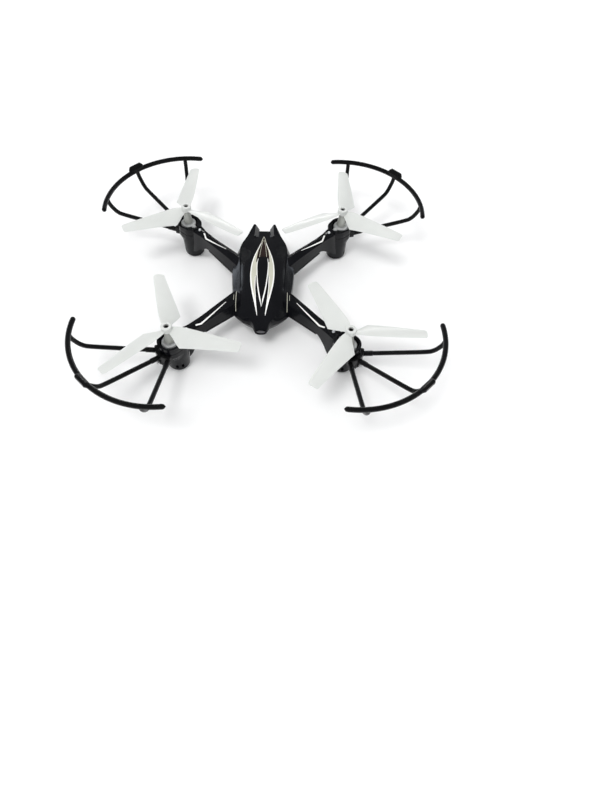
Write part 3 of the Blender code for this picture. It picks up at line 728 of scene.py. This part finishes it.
def bottom_shell():
    outer = loft([lower_ring(row) for row in refined(BODY_STATIONS, SHARP_STATIONS, 2.4)])
    half_x = DOOR_HIGH.x - DOOR_RAIL
    front, rear = DOOR_LOW.y, DOOR_HIGH.y
    cuts = [
        hollow(False),
        nose_bar(*NOSE_BORE),
        box((1.5 - half_x, front + 2, 7.0), (half_x - 1.5, rear - 4, 12.0)),
        box((-half_x - GAP, front - GAP, 7.0), (half_x + GAP, 64.0, 9.0)),
        box((-half_x - DOOR_RAIL - GAP, front - GAP, 8.5), (half_x + DOOR_RAIL + GAP, 64.0, 9.3)),
        box((-2.7, SWITCH_Y - 1.6, 7.0), (2.7, SWITCH_Y + 1.6, 13.0), 0.3),
        box((-4.0, SWITCH_Y - 2.8, 7.0), (4.0, SWITCH_Y + 2.8, 8.5), 0.3),
        box((-NOTCH_X, NOTCH_FRONT, 10.0), (NOTCH_X, NOTCH_BACK, 22.0), 0.3),
    ]
    posts = [rod(2.8, 12.0, PARTING - GAP, 24, place) for place in CASE_SCREWS.values()]
    shell = combined(outer, [arm_cover(corner) for corner in CORNERS], cuts)
    wells = [rod(1.25, 7.0, 21.0, 16, place) for place in CASE_SCREWS.values()]
    for x, y in CASE_SCREWS.values():
        well = turned(((0.0, 11.0), (2.3, 11.0), (2.3, 9.0), (3.0, 7.0), (0.0, 7.0)), 32)
        wells.append(moved(well, shift(x, y)))
    shell = combined(shell, posts, wells)
    publish("bottom_cover", shell, GLOSS_BLACK, ("bottom_shell",))


def nose_lens():
    """A dark oval lens, domed forwards, inside a raised ring."""
    dome = [(0.0, 0.0), *((math.sin(math.radians(a)), -0.16 * (1 - math.cos(math.radians(a))) * 2.0)
                          for a in range(15, 91, 15)), (1.0, -4.2), (0.0, -4.2)]
    place = nose_place(NOSE_LOW.y)
    lens = moved(turned(dome, 48), place @ Matrix.Diagonal((3.7, 2.1, 1.0, 1.0)))
    publish("front_lens", lens, LENS_DARK, ("nose_lens",))
    ring = turned(((1.0, 0.35), (1.12, 0.5), (1.24, 0.35), (1.24, -3.9), (1.0, -3.9)), 48)
    ring = moved(ring, place @ Matrix.Diagonal((3.7, 2.2, 1.0, 1.0)))
    publish("lens_ring", ring, GLOSS_BLACK)


# Motor pods: an envelope about two circles, one on the shaft and one on the leg

LEG_SHIFT = -4.0
POD_SECTIONS = (
    # height, radius about the shaft, radius about the leg's middle
    (0.0, 2.0, 6.2),
    (0.7, 2.0, 7.6),
    (2.4, 2.0, 8.4),
    (12.0, 4.0, 8.9),
    (17.0, 7.9, 9.1),
    (20.5, 9.3, 9.1),
    (31.0, 9.5, 8.8),
)
POD_LINES = (  # height, change of radius
    (2.5, 0.0), (2.6, -0.3), (3.0, -0.3), (3.1, 0.0),
    (24.5, 0.0), (24.6, -0.25), (25.0, -0.25), (25.1, 0.0),
)
CUP_FLOOR, CUP_RADIUS = 24.0, 7.6
PINION_ROOM, MOTOR_BORE, BUSHING_BORE = 2.9, 4.2, 1.64  # radii


def pod_ring(height, shaft_radius, leg_radius, count=56):
    ring = []
    for i in range(count):
        angle = 2 * math.pi * (i + 0.5) / count
        out = Vector((math.cos(angle), math.sin(angle)))
        circles = ((LEG_SHIFT, leg_radius), (0.0, shaft_radius))
        middle, radius = max(circles, key=lambda one: one[0] * out.x + one[1])
        ring.append((middle + radius * out.x, radius * out.y, height))
    return ring


def pod_envelope(grow=0.0):
    rows = refined(POD_SECTIONS, (20.5,), 1.2)
    rings = [pod_ring(row[0], row[1] + grow, row[2] + grow) for row in rows]
    rings[0] = [(x, y, -grow) for x, y, _ in rings[0]]
    rings[-1] = [(x, y, RIM_Z + grow) for x, y, _ in rings[-1]]
    return loft(rings)


def pod_body():
    """The pod with a line round its foot, another under its rim, and a rounded rim."""
    rows = [tuple(row) for row in refined(POD_SECTIONS, (20.5,), 0.8) if row[0] < 29.0]
    heights = [row[0] for row in rows]
    for height, extra in POD_LINES:
        radii = [between(heights, [row[c] for row in rows], height) + extra for c in (1, 2)]
        rows.append((height, *radii))
    rows = sorted(row for row in rows if not any(
        low < row[0] < high for low, high in ((2.5, 2.6), (2.6, 3.0), (3.0, 3.1), (24.6, 25.0))
    ))
    rows += [(29.3, 9.35, 8.7), (29.5, 9.55, 8.9), (RIM_Z - 0.3, 9.6, 8.9), (RIM_Z, 9.3, 8.6)]
    return loft([pod_ring(*row, 72) for row in rows])


def vent(degrees):
    """A tall slot in the leg, near its foot, in one direction from the leg's middle."""
    slot = box((5.4, -1.0, 4.1), (12.0, 1.0, 8.0), 0.9, 3)
    turn = Matrix.Rotation(math.radians(degrees), 4, "Z")
    return moved(slot, shift(LEG_SHIFT, 0.0) @ turn)


def motor_pods():
    cuts = [
        turned(((0.0, RIM_Z + 1), (8.6, RIM_Z + 1), (CUP_RADIUS, RIM_Z - 0.5), (CUP_RADIUS, CUP_FLOOR),
                (0.0, CUP_FLOOR)), 64),
        rod(PINION_ROOM, CUP_FLOOR - 1, RIM_Z + 1, 32, (PINION_AT, 0.0)),
        rod(MOTOR_BORE, 1.9, CUP_FLOOR + 1, 32, (PINION_AT, 0.0)),
        rod(BUSHING_BORE, SHAFT_LOW - GAP, CUP_FLOOR + 1, 24),
        *(vent(degrees) for degrees in (-75, -45, 45, 75)),
    ]
    mesh = combined(pod_body(), cut=cuts)
    for corner in CORNERS:
        publish(f"pod_{corner}", mesh, GLOSS_BLACK,
                (f"motor_pod_{corner}",), corner_matrix(corner))


# Propellers

BLADE_Z = 43.6
BLADE_STATIONS = (
    # distance out, leading edge, trailing edge, pitch in degrees
    (1.5, 1.8, -1.8, 24),
    (5.0, 3.1, -4.0, 24),
    (9.0, 3.9, -7.4, 22),
    (13.5, 4.3, -11.0, 20),
    (24.0, 4.5, -9.3, 16),
    (38.0, 4.4, -7.0, 12),
    (50.0, 4.2, -5.0, 9),
    (54.3, 4.0, -4.4, 8),
    (55.5, 3.6, -4.0, 8),
    (56.0, 2.9, -3.3, 8),
    (56.2, 2.2, -2.6, 8),
)
BLADE_THICK, BLADE_REACH = 1.0, 56.0
SHAFT_BORE = 0.87
HUB_FOOT = 42.15


def blade():
    """One blade along +X: a cambered section with thin rounded edges."""
    rings = []
    for out, lead, trail, pitch in refined(BLADE_STATIONS, (13.5, 54.3, 55.5, 56.0), 1.5):
        slope = math.tan(math.radians(pitch))
        chord = lead - trail
        thick = BLADE_THICK * (1.15 - 0.5 * out / BLADE_REACH)
        upper, lower = [], []
        for k in range(11):
            t = (1 - math.cos(math.pi * k / 10)) / 2
            across = lead - chord * t
            camber = 0.055 * chord * 4 * t * (1 - t)
            half = thick * 0.5 * math.sqrt(max(0.0, 1 - (2 * t - 1) ** 4)) if 0 < k < 10 else 0.04
            upper.append((out, across, BLADE_Z + across * slope + camber + half))
            lower.append((out, across, BLADE_Z + across * slope + camber - half))
        rings.append(upper + lower[::-1])
    return loft(rings)


def neck():
    """The flared neck below the hub."""
    return turned((
        (3.3, HUB_FOOT), (2.95, 41.3), (2.85, 39.6), (3.05, 36.8), (3.5, 34.2), (3.85, 31.4), (3.7, 31.0),
        (SHAFT_BORE, 31.0), (SHAFT_BORE, HUB_FOOT),
    ))


def propeller():
    hub = [
        (1.95, HUB_TOP - 0.25), (2.2, HUB_TOP), (3.5, HUB_TOP), (3.9, HUB_TOP - 0.18),
        (4.1, HUB_TOP - 0.6), (4.1, 43.2), (3.6, 42.4), (3.3, HUB_FOOT), (SHAFT_BORE, HUB_FOOT),
        (SHAFT_BORE, 45.0), (1.95, 45.0),
    ]
    blades = [moved(blade(), Matrix.Rotation(math.radians(120 * i), 4, "Z")) for i in range(3)]
    tools = (rod(1.95, 45.0, HUB_TOP + 1, 48), rod(SHAFT_BORE, 30.0, 45.5, 24))
    return combined(turned(hub, 48), blades, tools)


def cross_head(radius, top, bottom):
    """A screw's head with a domed top and a cross recess."""
    dome = 0.35
    arc = [(radius * math.sin(math.radians(a)), top - dome * (1 - math.cos(math.radians(a))))
           for a in (30, 50, 70, 90)]
    head = turned([(0.0, top), *arc, (radius, bottom), (0.0, bottom)], 36)
    deep, wide, long = top - 0.55 * (top - bottom), radius * 0.13, radius * 0.62
    sides = ((long, wide), (wide, long))
    return combined(head, cut=[box((-x, -y, deep), (x, y, top + 1)) for x, y in sides])


def screw(radius, top, bottom, shank, end):
    """A cross-head screw whose thread is a stack of ridges."""
    profile = [(0.0, bottom + 0.1), (shank * 0.85, bottom + 0.1)]
    z = bottom
    while z - 0.5 > end:
        profile += [(shank * 0.85, z), (shank, z - 0.25)]
        z -= 0.5
    profile += [(shank * 0.7, end), (0.0, end)]
    return combined(cross_head(radius, top, bottom), [turned(profile, 24)])


def propellers():
    right_hand = propeller()
    left_hand = moved(right_hand, Matrix.Scale(-1, 4, (0.0, 1.0, 0.0)))
    flare = neck()
    fixing = screw(1.6, 46.5, 45.3, 0.6, 43.3)
    for corner, (side_x, side_y, blade_angle, hand) in CORNERS.items():
        turn = shift(side_x * SHAFT, side_y * SHAFT) @ Matrix.Rotation(math.radians(blade_angle), 4, "Z")
        body = f"rotor_{corner}"
        publish(f"blades_{corner}", right_hand if hand > 0 else left_hand, BLADE_WHITE,
                (f"propeller_{corner}",), turn, 40, body)
        # The neck wears the darker copy of the blade plastic, which is painted shade.
        publish(f"neck_{corner}", flare, NECK_PAINTED_SHADE, (), turn, body=body)
        publish(f"hub_screw_{corner}", fixing, STEEL_DARK, (f"prop_screw_{corner}",), turn,
                body=body)


# Gears

MODULE = 0.4
SPUR_TEETH, PINION_TEETH = 30, 8
TOOTH_WIDTH = 0.86  # as a share of half the pitch, which leaves backlash


def gear_outline(teeth, phase):
    """Teeth with rounded flanks and backlash, the first tooth centred on the phase angle."""
    pitch_radius = MODULE * teeth / 2
    root, tip = pitch_radius - 1.2 * MODULE, pitch_radius + 0.92 * MODULE
    half = MODULE * math.pi / 4 * TOOTH_WIDTH
    flank = ((root, half * 1.42), (pitch_radius - 0.5 * MODULE, half * 1.18), (pitch_radius, half * 0.95),
             (pitch_radius + 0.55 * MODULE, half * 0.6), (tip, half * 0.32))
    points = []
    for i in range(teeth):
        middle = phase + i * 2 * math.pi / teeth
        rising = [(radius, middle - width / radius) for radius, width in flank]
        falling = [(radius, middle + width / radius) for radius, width in reversed(flank)]
        points += [(radius * math.cos(a), radius * math.sin(a)) for radius, a in rising + falling]
    return points


def gears():
    disc = prism(gear_outline(SPUR_TEETH, math.pi + math.pi / SPUR_TEETH), GEAR_LOW, GEAR_HIGH, 0.12)
    crown, foot = GEAR_HIGH + BOSS_ABOVE, GEAR_LOW - BOSS_BELOW
    boss = turned(((0.0, crown), (2.3, crown), (2.6, GEAR_HIGH + 0.3), (2.6, foot), (0.0, foot)), 36)
    above, sunk = GEAR_HIGH + 1, GEAR_HIGH - 0.45
    web = turned(((3.3, above), (4.7, above), (4.7, sunk), (3.3, sunk)), 48)
    spur = combined(disc, [boss], [web, rod(SHAFT_BORE, GEAR_LOW - 3, GEAR_HIGH + 3, 24)])
    small = prism(gear_outline(PINION_TEETH, 0.0), 26.9, 30.4, 0.15)
    stub = turned(((0.0, 30.8), (0.4, 30.8), (0.5, 30.7), (0.5, 23.6), (0.0, 23.6)), 20)
    small = combined(small, [stub])
    axle = turned(((0.0, SHAFT_HIGH), (0.55, SHAFT_HIGH), (0.75, SHAFT_HIGH - 0.2),
                   (0.75, SHAFT_LOW + 0.8), (1.25, SHAFT_LOW + 0.8), (1.25, SHAFT_LOW),
                   (0.0, SHAFT_LOW)), 24)
    for corner in CORNERS:
        place = corner_matrix(corner)
        body = f"rotor_{corner}"
        publish(f"gear_{corner}", spur, GEAR_NYLON, (f"spur_gear_{corner}",), place,
                body=body)
        publish(f"axle_{corner}", axle, STEEL, (f"prop_shaft_{corner}",), place, body=body)
        place = place @ shift(PINION_AT, 0.0)
        body = f"pinion_{corner}"
        publish(f"motor_gear_{corner}", small, GEAR_NYLON, (body,), place, body=body)


# Propeller guards

GUARD_ARC = 66.5
GUARD_SHIFT = 2.4
GUARD_Z = 46.0
GUARD_SPAN = 51.5
GUARD_WIRE = 1.95
SPOKE_WIRE = 1.75
GUARD_BLOCK = (  # (outwards, up) from the middle of the wire
    (-1.8, -0.4), (-1.6, 2.6), (1.0, 4.8), (3.0, 4.2), (3.3, 1.6), (0.4, -0.8),
)
SPOKE_ANGLES = (-38.0, 0.0, 38.0)
BRACKET_RADIUS = 12.4
SCREW_AXIS = shift(3.4, 0.0, 16.4) @ Matrix.Rotation(math.pi / 2, 4, "Y")


def arc_reach(degrees):
    """The distance from the shaft to the guard's arc in a direction."""
    along, across = polar(GUARD_SHIFT, degrees)
    return along + math.sqrt(GUARD_ARC**2 - across**2)


def spoke(degrees):
    reach = arc_reach(degrees)
    bend = ((10.5, 20.6), (14.0, 21.4), (35.0, 26.0), (57.0, 31.0), (62.2, 33.4), (65.4, 37.2),
            (reach - 0.8, 41.6), (reach, GUARD_Z))
    path = smooth_path([(*polar(r, degrees), z) for r, z in bend], 1.6)
    root = sweep([path[0], path[3], path[6]], 2.15, 8, False)
    return [sweep(path, SPOKE_WIRE, 14), softened(root, 0.4)]


def prop_guards():
    arc = []
    steps = 72
    for i in range(steps + 1):
        x, y = polar(GUARD_ARC, GUARD_SPAN * (2 * i / steps - 1))
        arc.append((GUARD_SHIFT + x, y, GUARD_Z))
    ends = ((-7.2, 0.55), (-5.2, 1.0), (5.2, 1.0), (7.2, 0.55))
    block = softened(loft([[(arc_reach(0) + out * size, y, GUARD_Z + up * size) for out, up in GUARD_BLOCK]
                           for y, size in ends]), 0.45, 3, 20)
    wings = [polar(BRACKET_RADIUS, a) for a in range(-48, 49, 6)]
    bracket = softened(prism([(3.0, -6.0), *wings, (3.0, 6.0)], 18.0, 24.6), 0.5, 2, 50)
    tab = box((2.0, -3.6, 13.6), (12.2, 3.6, 19.0), 0.6, 3)
    collar = turned(((0.0, 9.4), (2.3, 9.4), (2.6, 9.1), (2.6, 6.0), (0.0, 6.0)), 32)
    web = prism([(9.0, -0.6), (13.2, -0.6), (13.2, 0.6), (9.0, 0.6)], 15.2, 20.4, 0.2)
    joined = [part for degrees in SPOKE_ANGLES for part in spoke(degrees)]
    joined += [block, bracket, tab, moved(collar, SCREW_AXIS), web]
    holes = [
        pod_envelope(GAP),
        moved(rod(1.0, 0.0, 20.0, 24), SCREW_AXIS),
        moved(rod(1.95, 9.0, 20.0, 32), SCREW_AXIS),
    ]
    mesh = combined(sweep(arc, GUARD_WIRE, 16), joined, holes)
    fixing = moved(screw(1.7, 11.2, 10.1, 0.7, 0.6), SCREW_AXIS)
    for corner in CORNERS:
        place = corner_matrix(corner)
        publish(f"guard_{corner}", mesh, NYLON_BLACK,
                (f"prop_guard_{corner}",), place)
        publish(f"guard_fixing_{corner}", fixing, STEEL,
                (f"guard_screw_{corner}",), place)


# Small parts


def leds():
    """A domed lamp on each arm, its lens whitened as a painted glint, in a black ring."""
    radius = 1.2
    arc = [(x, LED_TOP - radius + z) for x, z in (polar(radius, a) for a in range(75, -1, -15))]
    dome = turned([(0.0, LED_TOP), *arc, (radius, 28.6), (0.0, 28.6)], 32)
    collar = turned(((1.28, 30.95), (1.75, 30.95), (1.95, 30.75), (1.95, 30.0), (1.28, 30.0)), 32)
    for corner in CORNERS:
        spot = Matrix.Translation(diagonal_matrix(corner) @ Vector((LED_AT, 0.0, 0.0)))
        publish(f"lamp_{corner}", dome, LED_PAINTED_GLINT, (f"led_{corner}",), spot)
        publish(f"lamp_ring_{corner}", collar, GLOSS_BLACK, (), spot)


def battery_door():
    low, high = DOOR_LOW, DOOR_HIGH
    half_x, front, rear = high.x - DOOR_RAIL, low.y, high.y
    slab = box((-half_x, front, 8.0), (half_x, rear, 8.9), 0.25)
    tongue = box((-half_x - DOOR_RAIL, front, 8.65), (half_x + DOOR_RAIL, rear, 9.15), 0.1)
    grips = [box((-7.0, y, 7.0), (7.0, y + 0.8, 8.3), 0.15) for y in (17.0, 19.0, 21.0, 23.0)]
    pad = prism([(x, -6.0 + y) for x, y in (polar(8.0, a) for a in range(0, 360, 6))], 7.0, 8.15)
    mesh = combined(slab, [tongue], [*grips, pad])
    publish("battery_lid", mesh, GLOSS_BLACK, ("battery_door",), body="battery_door")


def power_switch():
    knob = box((-2.4, SWITCH_Y - 1.2, 7.5), (0.4, SWITCH_Y + 1.2, 12.5), 0.2)
    base = box((-3.6, SWITCH_Y - 2.4, 11.8), (1.6, SWITCH_Y + 2.4, 13.0), 0.2)
    grooves = [box((x, SWITCH_Y - 2.0, 7.0), (x + 0.3, SWITCH_Y + 2.0, 7.8))
               for x in (-2.0, -1.35, -0.7, -0.05)]
    publish("switch_slider", combined(base, [knob], grooves), NYLON_BLACK,
            ("power_switch",), body="power_switch")


def case_screws():
    upside_down = shift(0.0, 0.0, 10.7) @ Matrix.Rotation(math.pi, 4, "X")
    mesh = moved(screw(1.9, 1.3, 0.0, 0.9, -13.7), upside_down)
    for name, (x, y) in CASE_SCREWS.items():
        publish(f"shell_screw_{name}", mesh, STEEL,
                (f"case_screw_{name}",), shift(x, y))


def inner_parts():
    """The CAD pieces that are right as they are get their real materials."""
    looks = {"battery": WRAP, "flight_board": BOARD}
    for corner in CORNERS:
        looks[f"motor_{corner}"] = STEEL
        looks[f"bushing_{corner}"] = BRONZE
    for node, look in looks.items():
        data = frame["nodes"][node].data
        data.materials.clear()
        data.materials.append(look)


# Printed stripes and emblem: thin closed skins laid on the cover


class Skin:
    """Lays thin prints on the top cover."""

    def __init__(self, cover):
        mesh = cover.data
        points = [vertex.co / MM for vertex in mesh.vertices]
        self.tree = BVHTree.FromPolygons(points, [tuple(face.vertices) for face in mesh.polygons])

    def height(self, x, y):
        found = self.tree.ray_cast(Vector((x, y, 80.0)), Vector((0.0, 0.0, -1.0)))[0]
        return found.z if found else PARTING

    def lay(self, name, grids, look, lift=0.07):
        """Make one piece of strips, each a grid of rows of (x, y) points."""
        form = bmesh.new()
        for rows in grids:
            sheets = []
            for offset in (lift, -0.25):
                sheets.append([[form.verts.new((x, y, self.height(x, y) + offset)) for x, y in row]
                               for row in rows])
            top, under = sheets
            last, end = len(rows) - 1, len(rows[0]) - 1
            for i in range(last):
                for j in range(end):
                    for sheet in (top, under):
                        row, after = sheet[i], sheet[i + 1]
                        form.faces.new((row[j], row[j + 1], after[j + 1], after[j]))
            rim = [(0, j) for j in range(end)] + [(i, end) for i in range(last)]
            rim += [(last, j) for j in range(end, 0, -1)] + [(i, 0) for i in range(last, 0, -1)]
            for (i, j), (k, m) in zip(rim, rim[1:] + rim[:1]):
                form.faces.new((top[i][j], top[k][m], under[k][m], under[i][j]))
        publish(name, mesh_of(form, weld=False), look, sharp=50)


def edge_at(table, y):
    """The half width of an outline at a place along the body, from (y, half width) pairs."""
    keys = [one[0] for one in table]
    return between(keys, [one[1] for one in table], y)


def strip(inner, outer, start, end, side):
    """Rows of points between two outlines on one side of the middle."""
    count = max(2, round((end - start) / 0.9))
    samples = [start + (end - start) * k / 8 for k in range(9)]
    widest = max(abs(edge_at(outer, y) - edge_at(inner, y)) for y in samples)
    across = max(1, round(widest / 0.8))
    rows = []
    for k in range(count + 1):
        y = start + (end - start) * k / count
        low, high = edge_at(inner, y), edge_at(outer, y)
        rows.append([(side * (low + (high - low) * j / across), y) for j in range(across + 1)])
    return rows


def both_sides(inner, outer, start, end):
    return [strip(inner, outer, start, end, side) for side in (1, -1)]


def inset(table, widths):
    """An outline moved inwards by a width that changes along the body."""
    return [(y, max(x - edge_at(widths, y), 0.0)) for y, x in table]


# Half outlines and line widths of the emblem: (y, half width) or (y, width)
EMBLEM_OUTER = ((-38.0, 3.3), (-28.6, 5.4), (-17.5, 7.8), (-8.7, 9.2), (0.0, 9.7), (8.3, 9.3), (16.5, 8.0),
                (25.7, 5.5), (31.2, 3.7), (36.0, 2.3), (41.0, 1.2), (44.5, 0.45))
EMBLEM_INNER = ((-38.0, 2.9), (-28.6, 4.0), (-20.6, 4.7), (-12.7, 5.2), (-4.0, 5.2), (-1.5, 4.6))
LENS_OUTER = ((-31.8, 0.05), (-24.6, 1.7), (-17.5, 3.0), (-8.7, 4.1), (0.0, 4.6), (8.3, 4.8),
              (16.5, 4.1), (18.5, 3.7))
BROWN_OUTER = ((12.8, 5.5), (18.0, 5.1), (25.7, 4.2), (31.0, 2.9), (36.0, 1.7), (41.0, 0.7), (43.6, 0.1))
OUTER_LINE = ((-38.0, 0.3), (-28.6, 1.1), (0.0, 0.85), (16.5, 0.7), (31.2, 0.5), (44.5, 0.35))
LENS_LINE = ((-31.8, 0.04), (-29.4, 0.85), (-17.5, 0.95), (0.0, 0.65), (18.5, 0.4))


def emblem(skin):
    """A long lens with silver sides, white outlines and a brown arrow head; it has no lettering."""
    outer_line = inset(EMBLEM_OUTER, OUTER_LINE)
    lens_line = inset(LENS_OUTER, LENS_LINE)
    brown_foot = ((12.8, 5.4), (15.0, 4.7), (18.5, 3.7))
    middle = ((-50.0, 0.0), (50.0, 0.0))
    silver = both_sides(EMBLEM_INNER, outer_line, -37.0, -1.5)
    silver += both_sides(LENS_OUTER, outer_line, -1.5, 12.8)
    silver += both_sides(BROWN_OUTER, outer_line, 12.8, 36.0)
    skin.lay("emblem_silver", silver, SILVER_PRINT_AND_HIGHLIGHT)
    white = both_sides(outer_line, EMBLEM_OUTER, -38.0, 36.0)
    white += both_sides(lens_line, LENS_OUTER, -31.8, 16.5)
    thin = [(y, x + 0.5) for y, x in EMBLEM_INNER]
    white += both_sides(EMBLEM_INNER, thin, -37.0, -3.0)
    skin.lay("emblem_outline", white, WHITE_PRINT, 0.1)
    grey = both_sides(outer_line, EMBLEM_OUTER, 36.0, 44.5)
    core = ((18.5, 2.75), (30.0, 1.7), (40.0, 0.35))
    grey += both_sides(core, [(y, x + 0.3) for y, x in core], 18.5, 40.0)
    skin.lay("emblem_fine_lines", grey, SILVER_PRINT_AND_HIGHLIGHT, 0.12)
    brown = both_sides(brown_foot, BROWN_OUTER, 12.8, 18.5)
    brown += both_sides(middle, BROWN_OUTER, 18.5, 43.6)
    skin.lay("emblem_arrow", brown, BROWN_PRINT, 0.06)


STRIPES = {
    # end: (distance along the diagonal, offset towards the tail, width)
    "front": ((38.0, 1.2, 0.3), (50.0, -0.4, 0.7), (66.0, -2.3, 1.2), (70.4, -1.1, 1.1)),
    "rear": ((46.0, 1.4, 0.3), (56.0, -0.4, 0.7), (68.0, -2.2, 1.2), (73.4, 0.4, 1.2)),
}


def stripe(points, place):
    """Rows of points along a bent stripe with a mitred corner."""
    dense = []
    for (s, p, w), (s2, p2, w2) in zip(points, points[1:]):
        count = max(2, round(math.hypot(s2 - s, p2 - p) / 1.2))
        dense += [(s + (s2 - s) * k / count, p + (p2 - p) * k / count, w + (w2 - w) * k / count)
                  for k in range(count)]
    dense.append(points[-1])
    rows = []
    for i, (s, p, w) in enumerate(dense):
        before, after = dense[max(i - 1, 0)], dense[min(i + 1, len(dense) - 1)]
        along = Vector((after[0] - before[0], after[1] - before[1])).normalized()
        side = Vector((-along.y, along.x)) * w / 2
        ends = [place @ Vector((s + side.x * t, p + side.y * t, 0.0)) for t in (-1.0, -0.5, 0.0, 0.5, 1.0)]
        rows.append([(one.x, one.y) for one in ends])
    return rows


# Raised beads whose pale colour is a painted highlight along the seams at the front arms' roots.
HIGHLIGHT_BEADS = (  # offset to the side, radius, front end, rear end
    (20.2, 0.24, -30.0, -15.0),
    (22.0, 0.16, -23.0, -18.0),
)


def painted_highlight_beads(skin):
    """Pairs of fine raised beads where the front arms meet the body, coloured pale as a painted highlight
    along the seams there.
    """
    beads = []
    for x, radius, front, rear in HIGHLIGHT_BEADS:
        for side in (1, -1):
            path = []
            for k in range(11):
                y = front + (rear - front) * k / 10
                top = max(skin.height(side * x, y + step) for step in (-1.5, 0.0, 1.5))
                path.append((side * x, y, top))
            beads.append(sweep(smooth_path(path, 1.2), radius, 10))
    publish("painted_highlight_beads", combined(beads[0], beads[1:]), SILVER_PRINT_AND_HIGHLIGHT)


def arm_stripes(skin):
    grids = [stripe(STRIPES[corner.split("_")[0]], diagonal_matrix(corner)) for corner in CORNERS]
    skin.lay("arm_stripes", grids, WHITE_PRINT)


camera()
studio()
cover = top_shell()
bottom_shell()
nose_lens()
motor_pods()
propellers()
gears()
prop_guards()
leds()
battery_door()
power_switch()
case_screws()
inner_parts()
skin = Skin(cover)
emblem(skin)
arm_stripes(skin)
painted_highlight_beads(skin)
